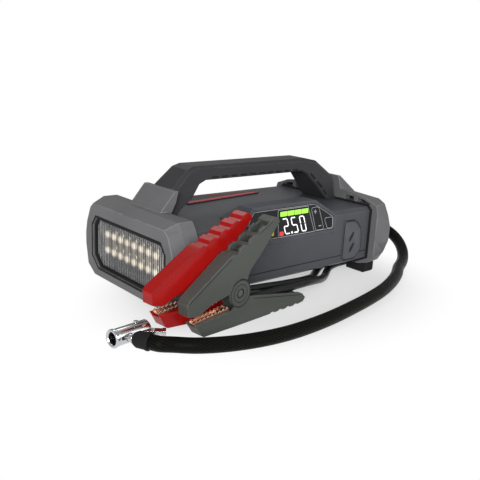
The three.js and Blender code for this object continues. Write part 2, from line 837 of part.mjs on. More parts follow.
function upperArm() {
  const inner = ARM_HALF - ARM_WALL;
  const hollow = [UPPER_SEAT[1], [31, 58], [38, 63], [82, 86], [68, 68], [52, 50], [48, 20], [30, 20]];
  const front = UPPER_SEAT[0][0] - GAP;
  const pocket = [[front, UPPER_SEAT[0][1]], UPPER_SEAT[1], [31, 20], [front, 12]];
  const jawSpace = alongY(pocket, 1.6 - TIP_HALF, TIP_HALF - 1.6);
  const relief = bothSides((s) => aroundPivot(BOSS_RADIUS + 0.6, ...across(s, inner - GAP, 20)));
  const tongue = [
    [36, 26],
    [52, 26],
    [54, 42],
    [46, 56],
    [32, 50],
  ];
  const ears = bothSides((s) => {
    const span = across(s, inner - 1.8, inner - GAP);
    return join(aroundPivot(EAR_RADIUS, ...span), alongY(tongue, ...span));
  });
  const walls = cut(
    narrowed(UPPER_ARM),
    alongY(hollow, -inner, inner),
    jawSpace,
    ...relief,
  );
  const root = tongue.slice(2).concat([[34, 44]]);
  const roots = bothSides((s) => cut(alongY(root, ...across(s, inner - 0.5, inner + 0.5)), ...relief));
  return cut(join(walls, ...ears, ...roots), aroundPivot(PIN_RADIUS + GAP, -20, 20, 16));
}

// A jaw is a copper strip with a toothed rail along each side.
function jaw(seat, edge, up) {
  const half = TIP_HALF - 1.6 - GAP;
  const base = seat.map(([x, z]) => [x, z + up * GAP]);
  const [[x0, z0], [x1, z1]] = edge;
  const teeth = Array.from({ length: 2 * 9 + 1 }, (_, i) => {
    const t = i / 18;
    return [x0 + (x1 - x0) * t, z0 + (z1 - z0) * t - (i % 2 ? 0 : up * 1.9)];
  });
  const outline = [...base, ...teeth.toReversed()];
  const middle = edge.map(([x, z]) => [x, z - up * 2.6]);
  const trough = [
    [x0 - 9, middle[0][1] - (z1 - z0) / 5],
    middle[1],
    [x1 + 9, z1 + up * 30],
    [x0 - 9, z0 + up * 30],
  ];
  return cut(alongY(outline, -half, half), alongY(trough, 1.8 - half, half - 1.8));
}

// The coil sits on the pin, with one leg in each arm.
const SPRING_TURNS = 2;
function springPath() {
  const [x, z] = PIVOT;
  const first = radians(141.5);
  const sweep = radians(264 - 141.5 + 360 * SPRING_TURNS);
  const steps = 8 * (SPRING_TURNS + 1);
  const points = [];
  for (let i = 0; i <= steps; i++) {
    const turn = first + (sweep * i) / steps;
    const across = SPRING_WIDTH * (i / steps - 0.5);
    points.push([x + SPRING_MEAN * Math.cos(turn), across, z + SPRING_MEAN * Math.sin(turn)]);
  }
  const leg = ([px, py, pz], angle, length) => [
    px + length * Math.cos(angle),
    py,
    pz + length * Math.sin(angle),
  ];
  const [up, down] = [first - Math.PI / 2, first + sweep + Math.PI / 2];
  return curve([
    leg(points[0], up, 13),
    leg(points[0], up, 5),
    ...points,
    leg(points.at(-1), down, 5),
    leg(points.at(-1), down, 13),
  ]);
}

function pivotPin() {
  const half = ARM_HALF - 0.2;
  const neck = ARM_HALF - RIVET_SUNK + GAP;
  return turned(
    [
      [-half, 0],
      [-half, RIVET_RADIUS],
      [-neck, RIVET_RADIUS],
      [-neck, PIN_RADIUS],
      [neck, PIN_RADIUS],
      [neck, RIVET_RADIUS],
      [half, RIVET_RADIUS],
      [half, 0],
    ],
    16,
  )
    .rotateZ(Math.PI / 2)
    .translate(PIVOT[0], 0, PIVOT[1]);
}

// A tilted clamp stands on the heel of its lower arm.
function clamp(name, place, tilt, colour) {
  const group = new THREE.Group();
  group.position.set(place[0], place[1], HEEL * Math.sin(radians(tilt)));
  group.rotation.set(0, radians(tilt), radians(CLAMP_TURN), "ZYX");
  part.add(group);
  const path = springPath();
  add(name + "_upper_arm", upperArm(), colour, 0.5, 0, group);
  add(name + "_lower_arm", lowerArm(), colour, 0.5, 0, group);
  add(name + "_upper_jaw", jaw(UPPER_SEAT, UPPER_TEETH, -1), COPPER, 0.35, 1, group);
  add(name + "_lower_jaw", jaw(LOWER_SEAT, LOWER_TEETH, 1), COPPER, 0.35, 1, group);
  add(name + "_pivot_pin", pivotPin(), DARK, 0.4, 0.8, group);
  add(name + "_spring", tube(path, SPRING_WIRE, 5, 28), STEEL, 0.3, 1, group);
  return leastGap(path, SPRING_WIRE);
}

// ---------------------------------------------------------------- leads and hose
const FLOOR_LEAD = LEAD_DIAMETER / 2 + 0.3;
const FLOOR_HOSE = HOSE_DIAMETER / 2 + 0.15;

// A lead turns up behind the pack and runs back into its boot.
function rearTurn([y, z]) {
  const [x, r] = [166, (z - FLOOR_LEAD) / 2];
  const turn = [-60, -30, 0, 30, 60].map(radians);
  return [
    [x - 16, y, FLOOR_LEAD],
    [x, y, FLOOR_LEAD],
    ...turn.map((a) => [x + r * Math.cos(a), y, z - r + r * Math.sin(a)]),
    [x, y, z],
    [REAR_END + BOOT_LENGTH + 2 * GAP, y, z],
  ];
}
const BLACK_ROUTE = [
  [-80.8, -100.1, 18.5],
  [-59.9, -97.9, 18],
  [-35, -95.3, 17.2],
  [-14.1, -93.1, 16.6],
  [5, -90.5, 15.6],
  [22, -85.5, 13],
  [38, -78.5, 9.4],
  [54, -69, 6],
  [70, -58, FLOOR_LEAD],
  [88, -46, FLOOR_LEAD],
  [106, -39.6, FLOOR_LEAD],
  [124, -38, FLOOR_LEAD],
  ...rearTurn(BLACK_OUTLET),
];
const RED_ROUTE = [
  [-107.9, -87.6, 23.9],
  [-87.2, -85.4, 21.7],
  [-62.4, -82.8, 18.9],
  [-41.7, -80.6, 16.6],
  [-23, -79, 14.6],
  [-5, -77.4, 13],
  [13, -74.4, 11],
  [30, -68.5, 8.4],
  [45, -60.5, 5.4],
  [62, -49.5, FLOOR_LEAD],
  [82, -37.5, FLOOR_LEAD],
  [102, -29.6, FLOOR_LEAD],
  [122, -27, FLOOR_LEAD],
  ...rearTurn(RED_OUTLET),
];
const HOSE_ROUTE = [
  [REAR_END + BOOT_LENGTH + 2 * GAP, ...HOSE_OUTLET],
  [163, ...HOSE_OUTLET],
  [180, -7.5, 39.8],
  [196, -13.5, 38],
  [207, -25.5, 33.5],
  [210.5, -40, 27],
  [207, -54, 20],
  [199, -65.5, 13.8],
  [188.5, -74.5, 9.2],
  [177, -81.6, 7.2],
  [166.5, -87.2, 6.8],
  [156.4, -92.2, FLOOR_HOSE],
  [131, -108, FLOOR_HOSE],
  [104, -121.3, FLOOR_HOSE],
  [72, -133.2, FLOOR_HOSE],
  [38, -142, FLOOR_HOSE],
  [8, -148, FLOOR_HOSE],
  [-24, -153.4, FLOOR_HOSE],
  [-56, -156.6, FLOOR_HOSE],
  [-88, -157, FLOOR_HOSE],
  [-117, -153, FLOOR_HOSE],
  [-143, -145.2, FLOOR_HOSE],
  [-164.6, -134.3, FLOOR_HOSE],
  [-180, -122.5, 7],
];

// ---------------------------------------------------------------- chuck
const nippleDirection = [Math.cos(radians(NIPPLE_TURN)), Math.sin(radians(NIPPLE_TURN))];
const nippleRoot = [
  CHUCK_FACE[0] + NIPPLE_AT * Math.cos(radians(CHUCK_TURN)),
  CHUCK_FACE[1] + NIPPLE_AT * Math.sin(radians(CHUCK_TURN)),
];
const alongNipple = (distance) => [
  nippleRoot[0] + distance * nippleDirection[0],
  nippleRoot[1] + distance * nippleDirection[1],
  CHUCK_FACE[2],
];
const asNipple = (geometry) => geometry.rotateZ(radians(NIPPLE_TURN)).translate(...nippleRoot, CHUCK_FACE[2]);
const asChuck = (geometry) => geometry.rotateZ(radians(CHUCK_TURN)).translate(...CHUCK_FACE);
const SLEEVE = [12, 26];

function chuckBody() {
  const profile = [
    [BORE_DEPTH, 0],
    [BORE_DEPTH, BORE_RADIUS],
    [1, BORE_RADIUS],
    [0, BORE_RADIUS + 0.8],
    [0, CHUCK_RADIUS],
    [0.5, CHUCK_RADIUS + 0.6],
    [2.2, CHUCK_RADIUS + 0.6],
    [2.8, CHUCK_RADIUS - 0.5],
    [4, CHUCK_RADIUS - 0.5],
    [4.4, CHUCK_RADIUS],
    [CHUCK_LENGTH - 1, CHUCK_RADIUS],
    [CHUCK_LENGTH, CHUCK_RADIUS - 1],
    [CHUCK_LENGTH, 0],
  ];
  const half = LEVER_THICK / 2 + 0.4;
  const slot = box(LEVER_AT - 6.5, CHUCK_LENGTH + 1, -10, 10, -half, half);
  const pinHole = barZ(1.5 + GAP, -10, 10, LEVER_AT, 0, 12);
  const branch = barX(3.2 + GAP, 3, 12, 0, 0, 16);
  return cut(asChuck(turned(profile)), asChuck(slot), asChuck(pinHole), asNipple(branch));
}

const chuckSeal = () =>
  asChuck(
    turned([
      [BORE_DEPTH - 3 - GAP, 2.2],
      [BORE_DEPTH - GAP, 2.2],
      [BORE_DEPTH - GAP, BORE_RADIUS - GAP],
      [BORE_DEPTH - 3 - GAP, BORE_RADIUS - GAP],
      [BORE_DEPTH - 3 - GAP, 2.2],
    ]),
  );

// The lever is a flat arm from the pin, turned out to the near side, with an upright thumb tab.
function chuckLever() {
  const arm = [
    [-3.6, -3.6],
    [0, -4.8],
    [24, -3.2],
    [24, 3.2],
    [0, 4.8],
    [-3.6, 3.6],
  ];
  const half = LEVER_THICK / 2;
  const flat = cut(plate(arm, -half, half), barZ(1.5 + GAP, -5, 5, 0, 0, 12));
  const tab = cut(box(21.6, 24.6, -4, 4, -5, 1.9), barX(0.8, 20, 26, 0, 0.3, 10));
  return asChuck(join(flat, tab).rotateZ(radians(-45)).translate(LEVER_AT, 0, 0));
}

function chuckPin() {
  const shank = barZ(1.5, -7.5, 8.2, LEVER_AT, 0, 12);
  const head = barZ(2.1, 7.6, 8.9, LEVER_AT, 0, 12);
  return asChuck(join(shank, head));
}
const chuckNipple = () =>
  asNipple(
    turned(
      [
        [6.4, 0],
        [6.4, 3.2],
        [9.9, 3.2],
        [9.9, 4.5],
        [11, 4.5],
        [SLEEVE[0] - GAP, 3.6],
        [SLEEVE[0] - GAP, 0],
      ],
      12,
    ),
  );
const hoseSleeve = () =>
  asNipple(
    turned([
      [SLEEVE[0], 0],
      [SLEEVE[0], 5.4],
      [SLEEVE[0] + 3, 7],
      [SLEEVE[1] - 3, 7.2],
      [SLEEVE[1] - 2.4, 7.7],
      [SLEEVE[1] - 0.6, 7.7],
      [SLEEVE[1], 7],
      [SLEEVE[1], 0],
    ]),
  );

// ---------------------------------------------------------------- the pack
add("upper_shell", upperShell(), SLATE, 0.45);
add("lower_shell", lowerShell(), SLATE, 0.5);
add("front_bumper", frontBumper(), GREY, 0.55);
add("rear_bumper", rearBumper(), GREY, 0.55);
add("carry_handle", carryHandle(), GREY, 0.55);
add("grip_strip", gripStrip(), DARK, 0.8);
add("lamp_lens", lampLens(), 0xd9dde0, 0.15);
add("lamp_reflector", lampReflector(), 0xb9bbbd, 0.25, 0.9);
add("lamp_board", lampBoard(), 0xe8dcc0, 0.6);
add("display_frame", displayFrame(), SLATE, 0.4);
add("display_window", displayWindow(), 0x0b0b0c, 0.1);
add("display_board", onFace(grown(KEYHOLE, -GAP), BOARD_SETBACK, BOARD_SETBACK + 1.6), 0x1f4d34, 0.6);
add("level_rocker", key(ROCKER_OUTLINE), BLACK, 0.5);
add("pump_key", key(PUMP_OUTLINE), BLACK, 0.5);
add("boost_key", key(BOOST_OUTLINE), 0xd6c21c, 0.5);
add("port_cover", portCover(), SLATE, 0.7);
add("port_block", portBlock(), BLACK, 0.6);
const inlay = alongAll([[-56, 30], [54, 43.5], [61, 49], [54, 54.5], [-56, BODY_HALF - 7]]);
add("top_inlay", plate(inlay, BODY_TOP + GAP, BODY_TOP + 1.1), DARK, 0.5);
const bay = BODY_HALF - 20; // half width of the room for the inner pieces
const shelf = BODY_BOTTOM + WALL + GAP;
add("battery_pack", box(along(-92), along(14), -bay, bay, shelf, BODY_TOP - 15.6), 0x2d4b7c, 0.5);
const boardAt = along(17);
const board = box(boardAt, boardAt + 1.8, -bay - 2, bay + 2, shelf, BODY_TOP - 7.6);
add("main_board", board, 0x1f4d34, 0.6);
add("pump_motor", barX(17, boardAt + 5, PUMP_FACE - GAP, HOSE_OUTLET[0], 34, 28), STEEL, 0.4, 0.9);
add("pump_head", pumpHead(), STEEL, 0.5, 0.9);
for (const [where, x, underside] of [
  ["front", LAMP_FACE + BUMPER_LIP, FRONT_OUTLINE],
  ["rear", REAR_RIM + 1, REAR_RING],
]) {
  add(`foot_${where}_near`, foot(x, -1, underside), BLACK, 0.9);
  add(`foot_${where}_far`, foot(x, 1, underside), BLACK, 0.9);
}
SCREW_PLACES.forEach((place, i) => add(`shell_screw_${i + 1}`, screw(place), DARK, 0.4, 0.8));
add("hose_boot", boot(OUTLETS[0], 9), BLACK, 0.8);
add("black_lead_boot", boot(OUTLETS[1], 5.3), BLACK, 0.8);
add("red_lead_boot", boot(OUTLETS[2], 5.3), BLACK, 0.8);

const turnOf = radians(CLAMP_TURN);
const RED_CLAMP = [
  BLACK_CLAMP[0] - CLAMP_SHIFT * Math.cos(turnOf) - CLAMP_SPACING * Math.sin(turnOf),
  BLACK_CLAMP[1] - CLAMP_SHIFT * Math.sin(turnOf) + CLAMP_SPACING * Math.cos(turnOf),
];
const springGap = clamp("black", BLACK_CLAMP, 0, OLIVE);
clamp("red", RED_CLAMP, CLAMP_TILT, RED);

const blackPath = curve(BLACK_ROUTE);
const redPath = curve(RED_ROUTE);
const hosePath = curve([...HOSE_ROUTE, alongNipple(SLEEVE[1] + 8), alongNipple(SLEEVE[1] + GAP)]);
add("black_lead", tube(blackPath, LEAD_DIAMETER, 10, 56), BLACK, 0.6);
add("red_lead", tube(redPath, LEAD_DIAMETER, 10, 58), BLACK, 0.6);
add("air_hose", tube(hosePath, HOSE_DIAMETER, 12, 64), BLACK, 0.75);
add("chuck_body", chuckBody(), 0xd8dadc, 0.15, 1);
add("chuck_seal", chuckSeal(), BLACK, 0.9);
add("chuck_lever", chuckLever(), STEEL, 0.2, 1);
add("chuck_pin", chuckPin(), STEEL, 0.3, 1);
add("chuck_nipple", chuckNipple(), STEEL, 0.3, 1);
add("hose_sleeve", hoseSleeve(), BLACK, 0.7);

console.log(`least gap in a spring ${springGap.toFixed(2)} mm`);
console.log(
  `lengths: black lead ${blackPath.getLength().toFixed(0)}, red lead ${redPath.getLength().toFixed(0)}, ` +
    `hose ${hosePath.getLength().toFixed(0)} mm`,
);

export default part;
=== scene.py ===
"""Looks of a jump starter pack with a work lamp, a tyre hose and two battery clamps.

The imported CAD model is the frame. This script gives its pieces their finishes, and makes the
leads, the hose, the springs, the lamp's diodes, the display's marks and the raised trim as new surfaces.
Blender gets metres. The places and sizes of single pieces are written in millimetres, and the values
of the stage, the panel and the finishes in metres.
"""

import json
import math
from functools import partialmethod

import bmesh
import bpy
import numpy as np
from mathutils import Matrix, Vector

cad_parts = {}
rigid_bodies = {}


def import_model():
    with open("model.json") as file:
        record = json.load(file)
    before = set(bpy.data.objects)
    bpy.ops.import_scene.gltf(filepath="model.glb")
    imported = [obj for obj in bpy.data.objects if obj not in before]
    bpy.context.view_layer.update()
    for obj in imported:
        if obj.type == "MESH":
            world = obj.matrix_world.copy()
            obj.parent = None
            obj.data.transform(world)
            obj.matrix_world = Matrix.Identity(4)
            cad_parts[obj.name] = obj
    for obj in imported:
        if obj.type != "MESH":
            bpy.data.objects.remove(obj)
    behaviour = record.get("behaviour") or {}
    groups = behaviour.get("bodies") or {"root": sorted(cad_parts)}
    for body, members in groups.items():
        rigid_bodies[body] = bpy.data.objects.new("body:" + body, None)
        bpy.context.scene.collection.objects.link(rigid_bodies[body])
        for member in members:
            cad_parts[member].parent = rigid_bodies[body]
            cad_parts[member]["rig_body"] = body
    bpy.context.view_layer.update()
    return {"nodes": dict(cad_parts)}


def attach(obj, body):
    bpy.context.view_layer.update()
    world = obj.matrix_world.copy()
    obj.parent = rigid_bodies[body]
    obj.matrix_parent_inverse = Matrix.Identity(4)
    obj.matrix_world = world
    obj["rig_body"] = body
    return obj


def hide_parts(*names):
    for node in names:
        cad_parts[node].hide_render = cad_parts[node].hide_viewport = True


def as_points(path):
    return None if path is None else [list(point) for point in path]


bl_info = {
    "name": "Jump starter pack looks",
    "version": (1, 0, 0),
    "blender": (4, 5, 0),
    "location": "3D View > Sidebar > Jump Starter",
    "description": "Gives a jump starter pack its finishes, leads, hose, springs, lamp and display",
    "category": "Object",
}

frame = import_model()
NODES = frame["nodes"]
MM = 0.001
X, Y, Z = range(3)
CLEAR = 0.02  # how far raised trim stands clear of its face
INK = (0.01, 0.06)  # the heights between which a thin mark lies over its face
BAND_EDGE = 0.45  # the share of a band's height that its upright edges take

# ---------------------------------------------------------------- places shared with the solids
# Lengths are in millimetres here, and angles in degrees.
POD_FACE = -73.4
POD_BOTTOM = 57.0
POD_TOP = 93.5
POD_LEAN = 3.4
WINDOW_SUNK = 0.4
INLAY_TOP = 78.7
COVER_FACE = -73.2
FLOOR_LEAD = 4.3
FLOOR_HOSE = 6.65
CLAMP_TURN = 6.0
BLACK_CLAMP = (-144.4, -106.8)
CLAMP_SPACING = 15.3
CLAMP_SHIFT = 27.0
CLAMP_TILT = 4.6
HEEL = 132.0
PIVOT = (44.0, 30.0)
BOARD_FRONT = -133.0
LED_PITCH = 12.3
LED_ROWS = (38.0, 54.0)
LED_COLUMNS = 8
LAMP_OPENING = [(52, 18), (64, 29), (64, 60), (57, 69), (-57, 69), (-64, 60), (-64, 29), (-52, 18)]
LENS_FACE = -145.7
LAMP_FACE = -150.0
ARM_HALF, TIP_HALF = 7.4, 6
TAPER_START, TAPER_LENGTH = -20, 56
RIBS = ((30, 65.4), (80, 91.5))
RIB_SPACING = 14.1
UPPER_EDGE = [(-15.5, 33.2), (28.5, 62.1), (81, 89.2)]
LOWER_EDGE = [(62, 21.3), (130, 9.2)]
BODY_SECTION = [(57, 12), (72, 20), (72, 73.6), (68, 77.6), (-68, 77.6), (-72, 73.6), (-72, 20), (-57, 12)]
REAR_RIM = 120.0
FLANK = 72.0
SHELL_JOINT = (27.6, 28.7)
REAR_LEG = ((88, 122.8, 75, 107.5, 15.6), (112, 105.5, 93, 89.5, 19.2), (121, 77.9, 104, 77.9, 20.4))
GRIP_HALF = 14.7
VENT_ROOFS = (((33.5, 85.5), (46.5, 84.6)), ((51.5, 84.4), (61, 83.4), (70.5, 80.4)))
VENT_FLOOR, VENT_DEPTH = 79.7, 10.0
OUTLET_FACE = 158.6
HOSE_OUTLET = (OUTLET_FACE, -6.0, 40.0)
LEAD_OUTLETS = {"black": (OUTLET_FACE, -38.0, 39.3), "red": (OUTLET_FACE, -27.0, 39.3)}
LEAD_TURN = 166.0

BLACK_ROUTE = [
    (-80.8, -100.1, 18.5), (-59.9, -97.9, 18), (-35, -95.3, 17.2), (-14.1, -93.1, 16.6), (5, -90.5, 15.6),
    (22, -85.5, 13), (38, -78.5, 9.4), (54, -69, 6), (70, -58, FLOOR_LEAD), (88, -46, FLOOR_LEAD),
    (106, -39.6, FLOOR_LEAD), (124, -38, FLOOR_LEAD),
]
RED_ROUTE = [
    (-107.9, -87.6, 23.9), (-87.2, -85.4, 21.7), (-62.4, -82.8, 18.9), (-41.7, -80.6, 16.6),
    (-23, -79, 14.6), (-5, -77.4, 13), (13, -74.4, 11), (30, -68.5, 8.4), (45, -60.5, 5.4),
    (62, -49.5, FLOOR_LEAD), (82, -37.5, FLOOR_LEAD), (102, -29.6, FLOOR_LEAD), (122, -27, FLOOR_LEAD),
]
HOSE_ROUTE = [
    HOSE_OUTLET, (163, -6, 40), (180, -7.5, 39.8), (196, -13.5, 38), (207, -25.5, 33.5), (210.5, -40, 27),
    (207, -54, 20), (199, -65.5, 13.8), (188.5, -74.5, 9.2), (177, -81.6, 7.2), (166.5, -87.2, 6.8),
    (156.4, -92.2, FLOOR_HOSE),
    (131, -108, FLOOR_HOSE), (104, -121.3, FLOOR_HOSE), (72, -133.2, FLOOR_HOSE), (38, -142, FLOOR_HOSE),
    (8, -148, FLOOR_HOSE), (-24, -153.4, FLOOR_HOSE), (-56, -156.6, FLOOR_HOSE), (-88, -157, FLOOR_HOSE),
    (-117, -153, FLOOR_HOSE), (-143, -145.2, FLOOR_HOSE), (-164.6, -134.3, FLOOR_HOSE), (-180, -122.5, 7),
]
CHUCK_FACE = (-216.0, -89.5, 8.4)
CHUCK_TURN = 7.5
NIPPLE_TURN = -62.0
NIPPLE_AT = 10.5
SLEEVE_END = 26.0


def heading(degrees):
    """The unit vector (cos a, sin a) of an angle."""
    return np.array([math.cos(math.radians(degrees)), math.sin(math.radians(degrees))])


def quarter_turned(way):
    """Vectors (x, y) turned by a quarter, as (-y, x)."""
    return np.stack([-way[..., 1], way[..., 0]], -1)


def rear_turn(face, y, z):
    """The points of a lead that turns up behind the pack in a half circle and runs into its boot."""
    x, radius = LEAD_TURN, (z - FLOOR_LEAD) / 2
    turn = np.radians([-60, -30, 0, 30, 60])
    arc = np.stack([x + radius * np.cos(turn), np.full(5, y), z - radius + radius * np.sin(turn)], 1)
    return [(x - 16, y, FLOOR_LEAD), (x, y, FLOOR_LEAD), *map(tuple, arc), (x, y, z), (face, y, z)]


def along_nipple(distance):
    """A point on the axis of the chuck's nipple."""
    root = np.array(CHUCK_FACE[:2]) + NIPPLE_AT * heading(CHUCK_TURN)
    return (*(root + distance * heading(NIPPLE_TURN)), CHUCK_FACE[2])


def clamp_matrix(shift, tilt, spacing):
    """The place of a clamp: it stands on its heel, turned about Z and tilted about Y."""
    turn, tilt = math.radians(CLAMP_TURN), math.radians(tilt)
    along = heading(CLAMP_TURN)
    x, y = BLACK_CLAMP - shift * along + spacing * quarter_turned(along)
    heel = Matrix.Translation((x, y, HEEL * math.sin(tilt)))
    return heel @ Matrix.Rotation(turn, 4, "Z") @ Matrix.Rotation(tilt, 4, "Y")


# ---------------------------------------------------------------- surfaces
def smooth_path(points, step):
    """A centripetal Catmull-Rom curve through the points, sampled about every `step`.

    On a span from p1 to p2 with knots t0..t3, whose gaps are the square roots of the distances, the
    point is the usual pyramid of linear blends between p0, p1, p2 and p3.
    """
    p = np.asarray(points, float)
    p = np.vstack([2 * p[0] - p[1], p, 2 * p[-1] - p[-2]])
    gaps = np.sqrt(np.linalg.norm(np.diff(p, axis=0), axis=1))
    knots = np.concatenate([[0], np.cumsum(gaps)])
    spans = np.linalg.norm(np.diff(p[1:-1], axis=0), axis=1)
    counts = np.maximum(2, np.ceil(spans / step)).astype(int)
    which = np.repeat(np.arange(len(counts)), counts)
    part = np.concatenate([np.arange(n) / n for n in counts])
    which, part = np.append(which, len(counts) - 1), np.append(part, 1.0)
    k = [knots[which + i][:, None] for i in range(4)]
    q = [p[which + i] for i in range(4)]
    t = k[1] + (k[2] - k[1]) * part[:, None]

    def blend(a, b, ta, tb):
        return a * (tb - t) / (tb - ta) + b * (t - ta) / (tb - ta)

    low, mid, high = blend(q[0], q[1], k[0], k[1]), blend(q[1], q[2], k[1], k[2]), blend(q[2], q[3], k[2], k[3])
    return blend(blend(low, mid, k[0], k[2]), blend(mid, high, k[1], k[3]), k[1], k[2])


def lengths_along(path):
    """The distance from the start of a path to each of its points."""
    return np.concatenate([[0], np.cumsum(np.linalg.norm(np.diff(path, axis=0), axis=1))])


def tube_surface(path, radius, sides, across):
    """A round section carried along a path.

    The point at (s, a) is path(s) + r * (cos a * n(s) + sin a * b(s)), where n is square to the
    path and to `across`, and b is square to both.
    """
    ahead = np.gradient(path, axis=0)
    ahead /= np.linalg.norm(ahead, axis=1)[:, None]
    normal = np.cross(ahead, np.asarray(across, float))
    normal /= np.linalg.norm(normal, axis=1)[:, None]
    side = np.cross(ahead, normal)
    a = np.linspace(0, 2 * np.pi, sides, endpoint=False)
    ring = np.cos(a)[None, :, None] * normal[:, None] + np.sin(a)[None, :, None] * side[:, None]
    return (path[:, None] + radius * ring).reshape(-1, 3)


def rounded(corners, radius, steps=5):
    """A closed outline with rounded corners. Each corner c is a Bezier curve that starts at r from c
    towards the last corner, is drawn to c, and ends at r from c towards the next. On a short side r is
    0.45 of its length."""
    c = np.asarray(corners, float)

    def reach(way):
        length = np.linalg.norm(way, axis=1)
        return way * (np.minimum(radius, 0.45 * length) / length)[:, None]

    start, end = c + reach(np.roll(c, 1, 0) - c), c + reach(np.roll(c, -1, 0) - c)
    t = np.linspace(0, 1, steps)[None, :, None]
    arc = (1 - t) ** 2 * start[:, None] + 2 * t * (1 - t) * c[:, None] + t**2 * end[:, None]
    return arc.reshape(-1, 2)


def offset(outline, by):
    """The outline moved outwards by a distance, along the mean of the normals at each point."""
    p = np.asarray(outline, float)
    edge = np.roll(p, -1, 0) - p
    edge /= np.maximum(np.linalg.norm(edge, axis=1), 1e-9)[:, None]
    normal = np.stack([edge[:, 1], -edge[:, 0]], 1)
    turned = normal + np.roll(normal, 1, 0)
    turned /= np.maximum(np.sum(turned * np.roll(normal, 1, 0), 1), 0.3)[:, None]
    area = np.sum(p[:, 0] * np.roll(p[:, 1], -1) - p[:, 1] * np.roll(p[:, 0], -1))
    return p + turned * by * np.sign(area)


def on_pod(x, z, out):
    """A point of the display, `out` in front of the pod's leaning face."""
    face = POD_FACE + POD_LEAN * (z - POD_BOTTOM) / (POD_TOP - POD_BOTTOM)
    return np.stack(np.broadcast_arrays(x, face - out, z), -1)


def over(axis, face, way=-1):
    """The place of points over a plane square to an axis: each is given by its two other
    coordinates and `out`, and its coordinate on the axis is face + way * out."""

    def place(first, second, out):
        parts = [first, second]
        parts.insert(axis, face + way * out)
        return np.stack(np.broadcast_arrays(*parts), -1)

    return place


on_cover = over(Y, COVER_FACE)
in_front_of_lens = over(X, LENS_FACE)
behind_body = over(X, REAR_RIM)
on_grip = over(Y, -GRIP_HALF)
on_inlay = over(Z, INLAY_TOP, 1)


def on_leg(down, across, out):
    """A point on the near side of the handle's rear leg. `down` counts its three stations from the
    top, `across` goes from its inner edge, 0, to its outer edge, 1, and both are blended linearly."""
    x1, z1, x0, z0, half = (np.interp(down, range(3), row) for row in zip(*REAR_LEG))
    return np.stack(np.broadcast_arrays(x0 + (x1 - x0) * across, -half - out, z0 + (z1 - z0) * across), -1)


def on_arm(x, z, out):
    """A point on the near side of a clamp's arm, which narrows towards the tip of the jaw."""
    half = TIP_HALF + (ARM_HALF - TIP_HALF) * np.clip((x - TAPER_START) / TAPER_LENGTH, 0, 1)
    return np.stack(np.broadcast_arrays(x, -half - out, z), -1)


def ribbon(line, width):
    """The outline of a strip along a line: the line moved by half the width to either side."""
    p = np.asarray(line, float)
    way = np.gradient(p, axis=0)
    side = quarter_turned(way) / np.linalg.norm(way, axis=1)[:, None] * width / 2
    return np.concatenate([p + side, (p - side)[::-1]])


def rectangle(left, low, right, high):
    """The outline of an upright rectangle."""
    return [(left, low), (right, low), (right, high), (left, high)]


def circle(centre, radius):
    """Points (x, z) = centre + radius (cos a, sin a)."""
    a = np.linspace(0, 2 * np.pi, 40, endpoint=False)
    return np.stack([centre[0] + radius * np.cos(a), centre[1] + radius * np.sin(a)], 1)


def placed(name, data):
    """An object of the scene that holds the data."""
    obj = bpy.data.objects.new(name, data)
    bpy.context.scene.collection.objects.link(obj)
    return obj


def piece(name, mesh, body, slot, *replaced):
    """A mesh as an object that rides on a body, with the solids that it replaces hidden. Its slot is not used."""
    obj = placed(name, mesh)
    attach(obj, body)
    if replaced:
        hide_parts(*replaced)
    return obj


def reworked(mesh, change):
    """Takes a mesh through bmesh and back."""
    work = bmesh.new()
    work.from_mesh(mesh)
    change(work)
    work.to_mesh(mesh)
    work.free()


